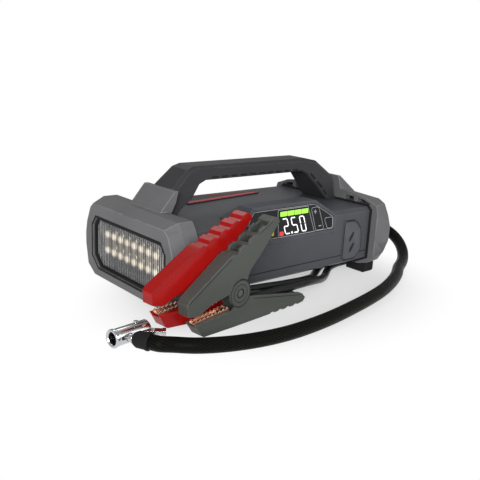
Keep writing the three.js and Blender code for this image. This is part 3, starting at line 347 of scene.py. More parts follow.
class Part:
    """Points and faces that are gathered before they become one mesh."""

    def __init__(self):
        self.points, self.faces, self.uv, self.count = [], [], [], 0

    def grid(self, points, rows, columns, round_rows=False, caps=False, uv=None):
        """A grid of points that is closed across its rows, as a tube is, and along them if asked. Its
        quads join each point (i, j) with its neighbours at i + 1 and j + 1."""
        i = np.arange(rows if round_rows else rows - 1)[:, None]
        j = np.arange(columns)[None, :]
        i2, j2 = (i + 1) % rows, (j + 1) % columns
        corners = [row * columns + column for row, column in ((i, j), (i, j2), (i2, j2), (i2, j))]
        self.faces += (np.stack(corners, -1).reshape(-1, 4) + self.count).tolist()
        if caps:
            ring = np.arange(columns)
            self.faces += [(self.count + ring[::-1]).tolist(), (self.count + (rows - 1) * columns + ring).tolist()]
        self.points.append(points)
        self.uv.append(np.zeros((len(points), 2)) if uv is None else uv)
        self.count += len(points)
        return self

    def plate(self, outline, low, high, place):
        """A flat plate with an outline, between two heights over a face."""
        rings = np.concatenate([place(*np.asarray(outline, float).T, h) for h in (low, high)])
        return self.grid(rings, 2, len(outline), caps=True)

    def band(self, outline, width, low, high, place):
        """A raised band along a closed outline, between two heights over a face: a low arched section,
        (u, h) = (w cos a, h sin a) for a from 0 to pi, on short upright edges and a flat underside,
        carried round the outline."""
        a = np.linspace(0, np.pi, 5)
        across = np.concatenate([width / 2 * np.cos(a), [-width / 2, width / 2]])
        arch = BAND_EDGE + (1 - BAND_EDGE) * np.sin(a)
        height = np.concatenate([low + (high - low) * arch, [low, low]])
        rows = [place(*offset(outline, u).T, h) for u, h in zip(across, height)]
        return self.grid(np.stack(rows, 1).reshape(-1, 3), len(outline), len(across), round_rows=True)

    def mesh(self, name):
        """The mesh of the points, which are given in millimetres, with its faces turned outwards."""
        mesh = bpy.data.meshes.new(name)
        mesh.from_pydata((np.concatenate(self.points) * MM).tolist(), [], self.faces)
        mesh.validate()
        reworked(mesh, lambda work: bmesh.ops.recalc_face_normals(work, faces=work.faces))
        return mesh

    def made(self, name, body, finish, slot=None, smooth=40, replaces=()):
        """The mesh as a piece that rides on a body, with its finish. The slot, which is the finish's name unless
        another is given, is passed on but not used."""
        mesh = self.mesh(name)
        layer = mesh.uv_layers.new(name="along")
        corner = np.zeros(len(mesh.loops), np.int32)
        mesh.loops.foreach_get("vertex_index", corner)
        layer.data.foreach_set("uv", unwrapped(mesh, np.concatenate(self.uv)[corner]).astype(np.float32).ravel())
        mesh.materials.append(FINISHES[finish])
        shade(mesh, smooth)
        return piece(name, mesh, body, slot or finish, *replaces)


def unwrapped(mesh, uv):
    """The map with 1 in place of 0 on the quads that close a tube, where the turn jumps back."""
    start = np.zeros(len(mesh.polygons), np.int32)
    total = np.zeros(len(mesh.polygons), np.int32)
    mesh.polygons.foreach_get("loop_start", start)
    mesh.polygons.foreach_get("loop_total", total)
    loops = start[total == 4][:, None] + np.arange(4)
    turn = uv[loops, 1]
    jumps = (np.ptp(turn, axis=1) > 0.5)[:, None]
    uv[loops, 1] = turn + (jumps & (turn < 0.5))
    return uv


def shade(mesh, angle):
    """Smooth shading up to an edge angle in degrees, and sharp edges past it."""
    mesh.polygons.foreach_set("use_smooth", np.ones(len(mesh.polygons), bool))
    mesh.set_sharp_from_angle(angle=math.radians(angle))


def rounded_copy(node, slot, angle=32):
    """A merged copy of a solid, with smooth shading over its curved faces."""
    source = NODES[node]
    mesh = source.data.copy()
    mesh.name = node + "_skin"
    if mesh.has_custom_normals:
        mesh.attributes.remove(mesh.attributes["custom_normal"])
    reworked(mesh, lambda work: bmesh.ops.remove_doubles(work, verts=work.verts, dist=1e-6))
    mesh.materials.clear()
    mesh.materials.append(FINISHES[slot])
    shade(mesh, angle)
    return piece(mesh.name, mesh, source["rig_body"], slot, node)


# ---------------------------------------------------------------- shader maths
class Signal:
    """One socket's value. Arithmetic on it adds Math nodes to its tree."""

    def __init__(self, tree, socket):
        self.tree, self.socket = tree, socket

    def op(self, operation, *others):
        """A Math node of this value and others."""
        inputs = dict(enumerate((self, *others)))
        return self.tree.node("ShaderNodeMath", inputs, operation=operation)["Value"]

    __add__ = __radd__ = partialmethod(op, "ADD")
    __sub__ = partialmethod(op, "SUBTRACT")
    __mul__ = __rmul__ = partialmethod(op, "MULTIPLY")
    __truediv__ = partialmethod(op, "DIVIDE")
    __pow__ = partialmethod(op, "POWER")
    sine = partialmethod(op, "SINE")
    cosine = partialmethod(op, "COSINE")
    most = partialmethod(op, "MAXIMUM")
    least = partialmethod(op, "MINIMUM")

    def __rsub__(self, other):
        return self * -1 + other

    def step(self, low, high, bottom=0.0, top=1.0):
        """A smooth rise from bottom to top as the value goes from low to high."""
        sockets = {"Value": self, "From Min": low, "From Max": high, "To Min": bottom, "To Max": top}
        return self.tree.node("ShaderNodeMapRange", sockets, interpolation_type="SMOOTHSTEP")["Result"]


def named(sockets, name):
    """The socket in use that has a name or an identifier."""
    return next(s for s in sockets if s.enabled and name in (s.name, s.identifier))


class Made:
    """A node's outputs by name, as signals."""

    def __init__(self, tree, node):
        self.tree, self.node = tree, node

    def __getitem__(self, name):
        return Signal(self.tree, named(self.node.outputs, name))


class Tree:
    """The nodes of a material or a world while they are being made."""

    def __init__(self, owner):
        owner.use_nodes = True
        self.tree = owner.node_tree
        self.tree.nodes.clear()

    def node(self, kind, sockets=None, **settings):
        """Adds a node: its settings first, then the values or links of its sockets, by name or number."""
        made = self.tree.nodes.new(kind)
        for key, value in settings.items():
            setattr(made, key, value)
        for key, value in (sockets or {}).items():
            socket = made.inputs[key] if isinstance(key, int) else named(made.inputs, key)
            if isinstance(value, Signal):
                self.tree.links.new(value.socket, socket)
            else:
                socket.default_value = (*value, 1) if socket.type == "RGBA" and len(value) == 3 else value
        return Made(self, made)


class Finish(Tree):
    """A material while its nodes are being made."""

    def __init__(self, name):
        self.material = bpy.data.materials.new(name)
        super().__init__(self.material)
        self.place = self.node("ShaderNodeTexCoord")["Object"]

    def noise(self, per_metre, detail, at=None):
        """A cloudy noise between 0 and 1."""
        sockets = {"Vector": at or self.place, "Scale": per_metre, "Detail": detail}
        return self.node("ShaderNodeTexNoise", sockets)["Fac"]

    def axis(self, at=None):
        """The three parts of a place as signals."""
        made = self.node("ShaderNodeSeparateXYZ", {"Vector": at or self.place})
        return made["X"], made["Y"], made["Z"]

    def along(self):
        """The distance along a tube in metres, and the turn round it from 0 to 1."""
        u, v, _ = self.axis(self.node("ShaderNodeUVMap", uv_map="along")["UV"])
        return u, v

    def mix(self, how_much, first, second):
        """A colour between two."""
        sockets = {"Factor": how_much, "A": first, "B": second}
        return self.node("ShaderNodeMix", sockets, data_type="RGBA")["Result"]

    def eased(self, radius):
        """The normal of a surface whose edges are rounded off."""
        return self.node("ShaderNodeBevel", {"Radius": radius}, samples=6)["Normal"]

    def bumped(self, height, depth, normal=None, strength=1.0):
        """The normal of a surface that rises by depth where the height is 1."""
        sockets = {"Height": height, "Distance": depth, "Strength": strength}
        if normal is not None:
            sockets["Normal"] = normal
        return self.node("ShaderNodeBump", sockets)["Normal"]

    def edges(self, eased):
        """A mask of the edges: how far the eased normal leans from the plain one."""
        plain = self.node("ShaderNodeNewGeometry")["True Normal"]
        dot = self.node("ShaderNodeVectorMath", {0: eased, 1: plain}, operation="DOT_PRODUCT")["Value"]
        return (1 - dot).step(0.004, 0.05)

    def close(self, **sockets):
        """Ends the material in one principled shader. Words joined by _ name its sockets."""
        sockets = {key.replace("_", " "): value for key, value in sockets.items()}
        shader = self.node("ShaderNodeBsdfPrincipled", sockets)["BSDF"]
        self.node("ShaderNodeOutputMaterial", {"Surface": shader})
        return self.material


def toned(colour, times, more=0.0):
    """A colour times a factor, and a little more, up to 1."""
    return [min(1, c * times + more) for c in colour]


# ---------------------------------------------------------------- finishes
# Each takes a new material, f, and closes it. Scales are per metre, and depths and radii in metres.
RIB_PITCH = 0.0033
BRAID_PITCH, BRAID_STRANDS = 0.0036, 16
LAY_PITCH = 0.03


def moulded(f, colour, roughness, ease=0.0008, highlight_strength=0.35):
    """Moulded plastic: fine spark-eroded grain, faint clouds in its colour, and a painted highlight that lightens its
    edges in patches.
    """
    cloud, speck = f.noise(14, 3), f.noise(2600, 1)
    # painted highlight: the colour lightens along the rounded edges, broken into patches by noise
    painted_edge_highlight = f.edges(f.eased(ease * 1.6)) * f.noise(70, 3).step(0.25, 0.6) * highlight_strength
    base = f.mix(cloud.step(0.3, 0.7), toned(colour, 0.92), toned(colour, 1.07))
    return f.close(
        Base_Color=f.mix(painted_edge_highlight, base, toned(colour, 1.9, 0.02)),
        Roughness=roughness + (speck - 0.5) * 0.12 + (cloud - 0.5) * 0.08 - painted_edge_highlight * 0.2,
        Specular_IOR_Level=0.12,
        Normal=f.bumped(speck, 0.00004, f.eased(ease)),
    )


def glossy_plastic(f, colour, roughness):
    """Glossy moulded plastic with slight flow waves under the gloss and fine rub marks."""
    wave = f.noise(90, 2)
    return f.close(
        Base_Color=f.mix(f.noise(30, 3).step(0.3, 0.7), toned(colour, 0.9), colour),
        Roughness=roughness + f.noise(420, 4).step(0.5, 0.8) * 0.03,
        Specular_IOR_Level=0.15,
        Normal=f.bumped(wave, 0.00012, f.eased(0.001), 0.5),
        Coat_Weight=0.02 + wave * 0.03,
    )


def rubber(f, colour, roughness):
    """Soft rubber: dull, with a bloom of dust in its low places and a pitted surface."""
    pits = f.noise(1700, 2)
    return f.close(
        Base_Color=f.mix(f.noise(45, 4).step(0.45, 0.8) * 0.5, colour, toned(colour, 1.5, 0.012)),
        Roughness=roughness + (pits - 0.5) * 0.15,
        Specular_IOR_Level=0.2,
        Normal=f.bumped(pits, 0.00006, f.eased(0.0006)),
    )


def bright_metal(f, colour, roughness, brush=0.0):
    """Plated or polished metal: faint smears in the polish, and brush lines where it is drawn."""
    smear = f.noise(60, 4)
    x, y, z = f.axis()
    line = ((x * 0.7 + y * 0.2 + z) * 9000 + smear * 40).sine() * 0.5 + 0.5
    return f.close(
        Base_Color=f.mix(smear.step(0.35, 0.75), toned(colour, 0.9), colour),
        Metallic=1.0,
        Roughness=roughness + smear * 0.1,
        Normal=f.bumped(line * brush + f.noise(900, 2) * 0.3, 0.00002, f.eased(0.0005)),
    )


def copper_plate(f, colour):
    """Bright copper plating: stained brown in clouds, and scuffed bright on the crests of the teeth."""
    eased = f.eased(0.0004)
    stain, scuff = f.noise(160, 5).step(0.4, 0.7), f.noise(700, 3)
    brown = [part * share for part, share in zip(colour, (0.62, 0.5, 0.42))]
    return f.close(
        Base_Color=f.mix(f.edges(eased), f.mix(stain, colour, brown), [0.98, 0.75, 0.6]),
        Metallic=1.0,
        Roughness=0.2 + stain * 0.15 + scuff * 0.1,
        Normal=f.bumped(scuff, 0.00005, eased),
    )


def clear_lens(f):
    """Clear moulded cover over the diodes, with upright ribs. Each rib has a painted highlight on one flank and
    painted shade on the other, and the lens has a painted glow in front of each diode, with painted brown shade under
    the upper ones.

    The painted glow falls off with the distance from a diode. Across the rows that distance is a cosine with
    a zero at each column, and a fainter streak joins the two diodes of a column.
    """
    x, y, z = f.axis()
    turn = y * (2 * math.pi / RIB_PITCH)
    # painted highlight and painted shade on the two flanks of each rib
    bright, dark = turn.sine().step(0.1, 0.95), (turn + 2.4).sine().step(0.2, 0.95)
    patchy = f.noise(150, 3, f.node("ShaderNodeCombineXYZ", {"X": x, "Y": y * 3, "Z": z * 0.35})["Vector"])
    painted_rib_glint = bright * patchy.step(0.3, 0.6)
    low, high = (row * MM for row in LED_ROWS)
    pitch = LED_PITCH * MM
    aside = (y * (math.pi / pitch)).cosine() * (pitch / math.pi)
    row = 1 - ((y * y) ** 0.5).step(LED_COLUMNS / 2 * pitch - 0.001, LED_COLUMNS / 2 * pitch)
    spots = [1 - ((aside**2 + ((z - at) * 0.85) ** 2) ** 0.5).step(0.0012, 0.0046) for at in (low, high)]
    column = (1 - ((aside**2) ** 0.5).step(0.0005, 0.0034)) * row
    streak = column * z.step(low, low + 0.004) * (1 - z.step(high - 0.004, high))
    # painted glow: the lens shines as if lit by the diodes behind it, though it is no lamp
    painted_glow = (spots[0].most(spots[1]) * row).most(streak * 0.28) * (1 - dark * 0.35)
    # painted brown shade just under each upper diode
    painted_diode_shade = column * (1 - (((z - high + 0.0068) ** 2) ** 0.5).step(0.0008, 0.0026))
    # the base colour carries the painted rib highlight, the painted rib shade and the painted brown shade
    base = f.mix(painted_rib_glint, [0.15, 0.15, 0.155], [0.9, 0.9, 0.9])
    base = f.mix(dark * 0.75, base, [0.03, 0.03, 0.032])
    base = f.mix(painted_diode_shade * 0.6, base, [0.16, 0.09, 0.04])
    return f.close(
        Base_Color=base,
        Emission_Color=f.mix(painted_glow, [0.0, 0.0, 0.0], [1.0, 0.88, 0.68]),
        Emission_Strength=0.95,
        Alpha=0.4 + (painted_rib_glint + dark).least(1.0) * 0.35 + painted_glow * 0.25,
        Roughness=0.12 + f.noise(300, 3) * 0.08,
        Specular_IOR_Level=0.3,
        Normal=f.bumped(turn.sine(), 0.0001),
    )


def silvered(f):
    """Vacuum-silvered plastic with a slightly wavy skin."""
    wave = f.noise(220, 3)
    base = f.mix(f.noise(50, 3).step(0.3, 0.8), [0.62, 0.62, 0.63], [0.45, 0.45, 0.46])
    return f.close(Base_Color=base, Metallic=0.85, Roughness=0.25 + wave * 0.14, Normal=f.bumped(wave, 0.0002))


def glass_front(f, colour):
    """Black gloss window with a faint haze of finger grease."""
    haze = f.noise(70, 5).step(0.45, 0.8)
    return f.close(
        Base_Color=f.mix(haze * 0.3, colour, toned(colour, 1, 0.02)),
        Roughness=0.1 + haze * 0.15,
        Specular_IOR_Level=0.2,
        Coat_Weight=0.05 + haze * 0.1,
    )


def circuit(f, colour):
    """Green circuit board with lighter tracks on a fine grid."""
    _, y, z = f.axis()
    tracks = ((y * 2400).sine().most((z * 2400).sine())).step(0.9, 0.97)
    base = f.mix(tracks * 0.5, colour, toned(colour, 1.8, 0.02))
    return f.close(Base_Color=base, Roughness=0.45 - tracks * 0.1, Normal=f.bumped(tracks, 0.00004))


def lit(f, colour, strength):
    """A lit mark or diode, a little uneven in its light and its gloss."""
    shimmer = f.noise(900, 2)
    return f.close(
        Base_Color=colour,
        Emission_Color=f.mix(shimmer * 0.3, colour, toned(colour, 1.1)),
        Emission_Strength=strength,
        Roughness=0.4 + shimmer * 0.1,
    )


def printed(f, colour):
    """Print or paint laid on plastic, worn thin in clouds and a little uneven."""
    thin = f.noise(380, 4).step(0.55, 0.85)
    base = f.mix(thin * 0.25, colour, toned(colour, 0.7))
    return f.close(Base_Color=base, Roughness=0.5 + thin * 0.1, Normal=f.bumped(f.noise(1800, 1), 0.00002))


def lead_cover(f, colour):
    """Smooth cable sheath with long faint waves from the winding under it: at the distance u along
    the lead and the turn v they are sin(2 pi u / pitch + 4 pi v)."""
    u, v = f.along()
    lay = (u * (2 * math.pi / LAY_PITCH) + v * (4 * math.pi)).sine()
    scuff = f.noise(240, 4).step(0.55, 0.8)
    return f.close(
        Base_Color=f.mix(scuff * 0.5, colour, toned(colour, 2, 0.02)),
        Roughness=0.3 + scuff * 0.25,
        Specular_IOR_Level=0.3,
        Normal=f.bumped(lay * 0.5 + scuff, 0.00008),
    )


def braided(f, dark, light):
    """A braid of two families of strands that wind opposite ways and pass over each other.

    At the distance u along the hose and the turn v, with n strands in each family, they are waves of
    n v + u / pitch and n v - u / pitch, and a check of the two says which lies on top.
    """
    u, v = f.along()
    lengthwise, round_it = u * (2 * math.pi / BRAID_PITCH), v * (2 * math.pi * BRAID_STRANDS)
    one, other = (round_it + lengthwise).sine(), (round_it - lengthwise).sine()
    first_on_top = (one * other * 3).step(-1, 1)
    height = one * first_on_top + other * (1 - first_on_top)
    thread = ((round_it * 4 + lengthwise).sine() + (round_it * 4 - lengthwise).sine()) * 0.15
    lift = (height + thread).step(-0.9, 1.1)
    dust = f.noise(60, 4).step(0.5, 0.8) * 0.2
    return f.close(
        Base_Color=f.mix(dust, f.mix(lift, dark, light), toned(light, 1.5)),
        Roughness=0.3 + lift * 0.08,
        Specular_IOR_Level=0.06,
        Normal=f.bumped(lift, 0.0004),
    )


FINISHES = {}


def mix_finishes(colours):
    """Makes the finish of each material slot, with the colours that the panel holds."""
    made = {
        # moulded: colour, roughness, then where given the radius of the rounded edges and the strength of the painted
        # edge highlight
        moulded: dict(
            slate_shell=(colours.body, 0.4, 0.0008, 0.5),
            grey_bumper=(colours.bumper, 0.45, 0.0009, 0.8),
            handle_grey=(colours.handle, 0.45, 0.0009, 0.6),
            olive_plastic=(colours.black_clamp, 0.4, 0.0007, 0.7),
            dark_plastic=([0.022, 0.022, 0.024], 0.6),
            key_black=([0.014, 0.014, 0.016], 0.45, 0.0005),
            inlay=([0.03, 0.03, 0.034], 0.4),
        ),
        glossy_plastic: dict(
            red_plastic=(colours.red_clamp, 0.22),
            key_yellow=([0.72, 0.62, 0.02], 0.3),
            battery_wrap=([0.02, 0.08, 0.25], 0.35),
        ),
        rubber: dict(
            slate_rubber=(toned(colours.body, 1.2), 0.6),
            black_rubber=([0.009, 0.009, 0.009], 0.75),
        ),
        bright_metal: dict(
            steel_can=([0.6, 0.6, 0.62], 0.3, 0.6),
            cast_alloy=([0.55, 0.55, 0.56], 0.45),
            dark_steel=([0.2, 0.2, 0.21], 0.35),
            spring_steel=([0.62, 0.62, 0.64], 0.22, 0.5),
            chrome=([0.6, 0.61, 0.62], 0.12),
        ),
        printed: dict(
            lamp_board=([0.75, 0.68, 0.5],),
            stripe=([0.55, 0.03, 0.04],),
            red_shade=([0.16, 0.004, 0.004],),
            mark=([0.36, 0.36, 0.38],),
        ),
        lit: dict(
            white_light=([0.92, 0.94, 0.96], 0.75),
            green_light=([0.32, 0.85, 0.06], 0.6),
            red_light=([0.8, 0.03, 0.03], 0.4),
            diode=([1.0, 0.9, 0.7], 1.5),
        ),
        copper_plate: dict(copper=([0.9, 0.58, 0.44],)),
        clear_lens: dict(lens=()),
        silvered: dict(reflector=()),
        glass_front: dict(display_glass=([0.006, 0.006, 0.008],)),
        circuit: dict(circuit_board=([0.02, 0.12, 0.06],)),
        lead_cover: dict(lead_cover=([0.007, 0.007, 0.008],)),
        braided: dict(hose_cover=([0.0008, 0.0008, 0.0006], [0.007, 0.0075, 0.0055])),
    }
    for kind, finishes in made.items():
        FINISHES.update({name: kind(Finish(name), *values) for name, values in finishes.items()})


# ---------------------------------------------------------------- sizes and colours
def colour_of(name, what, value):
    """A colour that a user may change, as linear values."""
    return bpy.props.FloatVectorProperty(
        name=name, description="Colour of " + what, subtype="COLOR", default=value, min=0, max=1
    )


def size_of(name, what, value, least, most):
    """A length in metres that a user may change."""
    return bpy.props.FloatProperty(name=name, description=what, default=value, min=least, max=most, unit="LENGTH")


class PackColours(bpy.types.PropertyGroup):
    """Colours of the large pieces, as linear values."""

    body: colour_of("Body", "the two body shells", (0.075, 0.078, 0.088))
    bumper: colour_of("Bumpers", "both bumpers", (0.143, 0.143, 0.148))
    handle: colour_of("Handle", "the carry handle", (0.042, 0.042, 0.045))
    red_clamp: colour_of("Red clamp", "the red clamp's arms", (0.36, 0.006, 0.005))
    black_clamp: colour_of("Black clamp", "the black clamp's arms", (0.075, 0.08, 0.072))


class PackCords(bpy.types.PropertyGroup):
    """Sizes of the leads and the hose."""

    lead: size_of("Lead", "Diameter of a battery lead", 0.008, 0.004, 0.012)
    hose: size_of("Hose", "Diameter of the tyre hose", 0.013, 0.008, 0.016)
    wire: size_of("Spring wire", "Diameter of the wire of a clamp's spring", 0.0014, 0.001, 0.0016)
    sides: bpy.props.IntProperty(
        name="Sides", description="Sides of a lead's round section", default=28, min=12, max=48
    )


class PackMarks(bpy.types.PropertyGroup):
    """What the display shows."""

    digits: bpy.props.StringProperty(name="Digits", description="Numbers and points on the display", default="2.50")
    bars: bpy.props.IntProperty(name="Bars", description="Blocks in the level bar", default=4, min=1, max=6)
    line: size_of("Line", "Width of the lines round the keys", 0.0005, 0.0003, 0.0012)


# ---------------------------------------------------------------- the stage
CAMERA_PLACE = (-0.45407, -0.50881, 0.22301)
CAMERA_YAW, CAMERA_PITCH, CAMERA_ROLL = 48.76, 15.16, 3.01
FOCAL_PIXELS, FRAME_PIXELS = 647.31, 480
FLOOR_HALF = 6.0
SHADOW_REACH = (0.25, 0.19)
SHADOW_MIDDLE = -0.05
SKY_LEVEL = 0.235
MIRRORED_SHARE = 0.3
LAMP_AIM = (0.0, 0.0, 0.05)
LAMPS = {
    "key": ((-1.45, -1.25, 0.66), 0.8, 32),
    "fill": ((0.7, -1.6, 0.7), 1.0, 9),
    "back": ((0.6, 1.2, 1.7), 0.9, 6),
}


def camera():
    """A camera with the photograph's place, aim, roll and field of view."""
    yaw, pitch, roll = (math.radians(a) for a in (CAMERA_YAW, CAMERA_PITCH, CAMERA_ROLL))
    ahead = Vector((math.cos(yaw) * math.cos(pitch), math.sin(yaw) * math.cos(pitch), -math.sin(pitch)))
    level = Vector((math.sin(yaw), -math.cos(yaw), 0))
    up = level.cross(ahead)
    right = level * math.cos(roll) + up * math.sin(roll)
    top = up * math.cos(roll) - level * math.sin(roll)
    data = bpy.data.cameras.new("camera")
    data.sensor_width = 36
    data.lens = FOCAL_PIXELS / FRAME_PIXELS * data.sensor_width
    data.clip_start = 0.01
    obj = placed("camera", data)
    obj.matrix_world = Matrix((right, top, -ahead)).transposed().to_4x4()
    obj.location = CAMERA_PLACE
    bpy.context.scene.camera = obj


def floor():
    """A pale floor. Only the camera, mirror-like and clear surfaces see it lifted towards white, fully
    so outside an oval round the pack, on which its shadow shows."""
    f = Finish("floor")
    rays = f.node("ShaderNodeLightPath")
    seen = rays["Is Camera Ray"].most(rays["Is Glossy Ray"]).most(rays["Is Transmission Ray"])
    x, y, _ = f.axis()
    out = ((x / SHADOW_REACH[0]) ** 2 + ((y - SHADOW_MIDDLE) / SHADOW_REACH[1]) ** 2) ** 0.5
    pale = f.node("ShaderNodeBsdfDiffuse", {"Color": [0.86, 0.86, 0.86]})["BSDF"]
    white = f.node("ShaderNodeEmission", {"Color": [1.0, 1.0, 1.0], "Strength": 1.0})["Emission"]
    lifted = f.node("ShaderNodeMixShader", {0: seen * out.step(0.42, 0.9, 0.5, 1.0), 1: pale, 2: white})["Shader"]
    f.node("ShaderNodeOutputMaterial", {"Surface": lifted})
    mesh = bpy.data.meshes.new("floor")
    corners = rectangle(-FLOOR_HALF, -FLOOR_HALF, FLOOR_HALF, FLOOR_HALF)
    mesh.from_pydata([(x, y, 0) for x, y in corners], [], [(0, 1, 2, 3)])
    mesh.materials.append(f.material)
    placed("floor", mesh)


def lamp(name, place, size, watts):
    """A square soft lamp that looks at the middle of the pack."""
    data = bpy.data.lights.new(name, "AREA")
    data.shape, data.size, data.energy = "SQUARE", size, watts
    obj = placed(name, data)
    obj.location = place
    obj.rotation_mode = "QUATERNION"
    obj.rotation_quaternion = (Vector(LAMP_AIM) - Vector(place)).to_track_quat("-Z", "Y")


def sky():
    """A plain world: white where it is seen, grey where it is mirrored, and a softer light elsewhere."""
    world = bpy.data.worlds.new("sky")
    nodes = Tree(world)
    rays = nodes.node("ShaderNodeLightPath")
    seen = rays["Is Camera Ray"].most(rays["Is Glossy Ray"] * MIRRORED_SHARE).most(rays["Is Transmission Ray"])
    level = nodes.node("ShaderNodeMapRange", {"Value": seen, "To Min": SKY_LEVEL, "To Max": 1.0})["Result"]
    light = nodes.node("ShaderNodeBackground", {"Color": [1.0, 1.0, 1.0], "Strength": level})["Background"]
    nodes.node("ShaderNodeOutputWorld", {"Surface": light})
    bpy.context.scene.world = world


class PACK_OT_stage(bpy.types.Operator):
    """Make the floor, the soft lights and the camera at the photograph's place"""

    bl_idname = "pack.stage"
    bl_label = "Stage"

    def execute(self, context):
        camera()
        floor()
        sky()
        for name, values in LAMPS.items():
            lamp(name, *values)
        context.scene.view_settings.view_transform = "Standard"
        return {"FINISHED"}


class PACK_OT_finishes(bpy.types.Operator):
    """Mix the finish of each material slot"""

    bl_idname = "pack.finishes"
    bl_label = "Finishes"

    def execute(self, context):
        mix_finishes(context.scene.pack_colours)
        return {"FINISHED"}


# ---------------------------------------------------------------- cords
CLAMP_PIECES = {"black": [], "red": []}
LEAD_ROUTES = {"black": BLACK_ROUTE, "red": RED_ROUTE}


class PACK_OT_cords(bpy.types.Operator):
    """Make the two battery leads and the tyre hose along their routes"""

    bl_idname = "pack.cords"
    bl_label = "Leads and hose"

    def execute(self, context):
        sizes = context.scene.pack_cords
        for colour, outlet in LEAD_OUTLETS.items():
            path = smooth_path(LEAD_ROUTES[colour] + rear_turn(*outlet), 2.0)
            name, across = colour + "_lead_cover", (0, 1, 0.05)
            cover = self.tube(name, path, sizes.lead, sizes.sides, across, "lead_cover", colour + "_lead")
            lengths_along(path)[-1] * MM
            CLAMP_PIECES[colour]
            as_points(path[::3] * MM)
        path = smooth_path([*HOSE_ROUTE, along_nipple(SLEEVE_END + 8), along_nipple(SLEEVE_END + 0.3)], 1.5)
        braid = self.tube("hose_braid", path, sizes.hose, 40, (0, 0, 1), "hose_cover", "air_hose")
        lengths_along(path)[-1] * MM
        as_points(path[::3] * MM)
        return {"FINISHED"}

    @staticmethod
    def tube(name, path, diameter, sides, across, slot, node):
        """A cord as a tube with closed ends. Its map holds the length along it and the turn round it."""
        points = tube_surface(path, diameter / MM / 2, sides, across)
        u = np.repeat(lengths_along(path) * MM, sides)
        v = np.tile(np.arange(sides) / sides, len(path))
        part = Part().grid(points, len(path), sides, caps=True, uv=np.stack([u, v], 1))
        return part.made(name, "pack", slot, smooth=60, replaces=[node])


# ---------------------------------------------------------------- clamps
COIL_ENDS = (141.5, 264 + 720)
COIL_RADIUS, COIL_WIDTH, COIL_LEG, COIL_SIDES = 4.2, 4.5, 13.0, 10
ARM_ANGLE = 24
# radius, width and height of the dark rings of painted shade round a clamp's pivot and rivet
PIVOT_SHADE_RINGS = ((12.3, 0.9, 0.3), (3.8, 0.9, 0.3), (8.2, 0.5, 0.1))
OPENING_START, OPENING_LENGTHS = 9.896, (10.1, 10.1, 15.6)
OPENING_LOW, OPENING_HIGH, OPENING_HALF = -6.5, 5, 5.0


def spring_path():
    """The centreline of a clamp's spring in the clamp's own frame: a straight leg, two turns and more
    of a coil round the pin, p(t) = pivot + r (cos t, sin t) with an even sideways lead, and a straight leg."""
    t = np.linspace(0, 1, 160)
    first, last = np.radians(COIL_ENDS)
    turn = first + (last - first) * t
    round_pin = COIL_RADIUS * np.stack([np.cos(turn), np.sin(turn)])
    coil = np.stack([PIVOT[0] + round_pin[0], COIL_WIDTH * (t - 0.5), PIVOT[1] + round_pin[1]], 1)
    up, down = first - np.pi / 2, last + np.pi / 2
    leg = np.linspace(COIL_LEG, 0.4, 14)[:, None]
    way_up, way_down = ([math.cos(a), 0, math.sin(a)] for a in (up, down))
    return np.concatenate([coil[0] + leg * way_up, coil, coil[-1] + leg[::-1] * way_down])


class PACK_OT_clamps(bpy.types.Operator):
    """Finish the two battery clamps and wind their springs"""

    bl_idname = "pack.clamps"
    bl_label = "Battery clamps"

    def execute(self, context):
        wire = context.scene.pack_cords.wire / MM
        # each clamp: colour, the finish of its arms, the finish of its lines and rings of painted shade, and its
        # shift, tilt and spacing
        for colour, slot, line, *lie in (
            ("black", "olive_plastic", "dark_plastic", 0, 0, 0),
            ("red", "red_plastic", "red_shade", CLAMP_SHIFT, CLAMP_TILT, CLAMP_SPACING),
        ):
            place = np.array(clamp_matrix(*lie))

            def turned(points):
                return points @ place[:3, :3].T + place[:3, 3]

            def on_turned_arm(x, z, out):
                return turned(on_arm(x, z, out))

            arm = colour + "_arm"
            path = turned(spring_path())
            coil = tube_surface(path, wire / 2, COIL_SIDES, place[:3, 1])
            spring = Part().grid(coil, len(path), COIL_SIDES, caps=True)
            upper = rounded_copy(colour + "_upper_arm", slot, ARM_ANGLE)
            if colour == "black":
                carved(upper, rib_openings(turned), ARM_ANGLE)
            # painted shade: a dark line along the upper arm's top edge stands in for the shade of a groove there
            edge = Part().plate(ribbon(UPPER_EDGE, 0.7), *INK, on_turned_arm)
            edge.made(colour + "_upper_line", arm, line, slot, 30)
            # painted shade: a dark line along the lower arm's upper edge, and dark rings round the pivot and the
            # rivet, stand in for the shade of grooves
            rings = Part().plate(ribbon(LOWER_EDGE, 0.6), *INK, on_turned_arm)
            for radius, width, high in PIVOT_SHADE_RINGS:
                rings.band(circle(PIVOT, radius), width, CLEAR, high, on_turned_arm)
            rings.made(colour + "_pivot_rings", "pack", line, slot)
            CLAMP_PIECES[colour] += [
                spring.made(colour + "_coil", arm, "spring_steel", smooth=60, replaces=[colour + "_spring"]),
                upper,
                rounded_copy(colour + "_lower_arm", slot, ARM_ANGLE),
                rounded_copy(colour + "_pivot_pin", "dark_steel"),
                dressed(colour + "_upper_jaw", "copper"),
                dressed(colour + "_lower_jaw", "copper"),
            ]
        return {"FINISHED"}


def carved(obj, cutter, angle):
    """Cuts one object's mesh out of another. The cutter goes with its mesh."""
    step = obj.modifiers.new("carve", "BOOLEAN")
    step.object, step.operation, step.solver = cutter, "DIFFERENCE", "EXACT"
    mesh = bpy.data.meshes.new_from_object(obj.evaluated_get(bpy.context.evaluated_depsgraph_get()))
    obj.modifiers.clear()
    obj.data, old = mesh, obj.data
    for spent in (old, cutter.data):
        bpy.data.meshes.remove(spent)
    shade(mesh, angle)


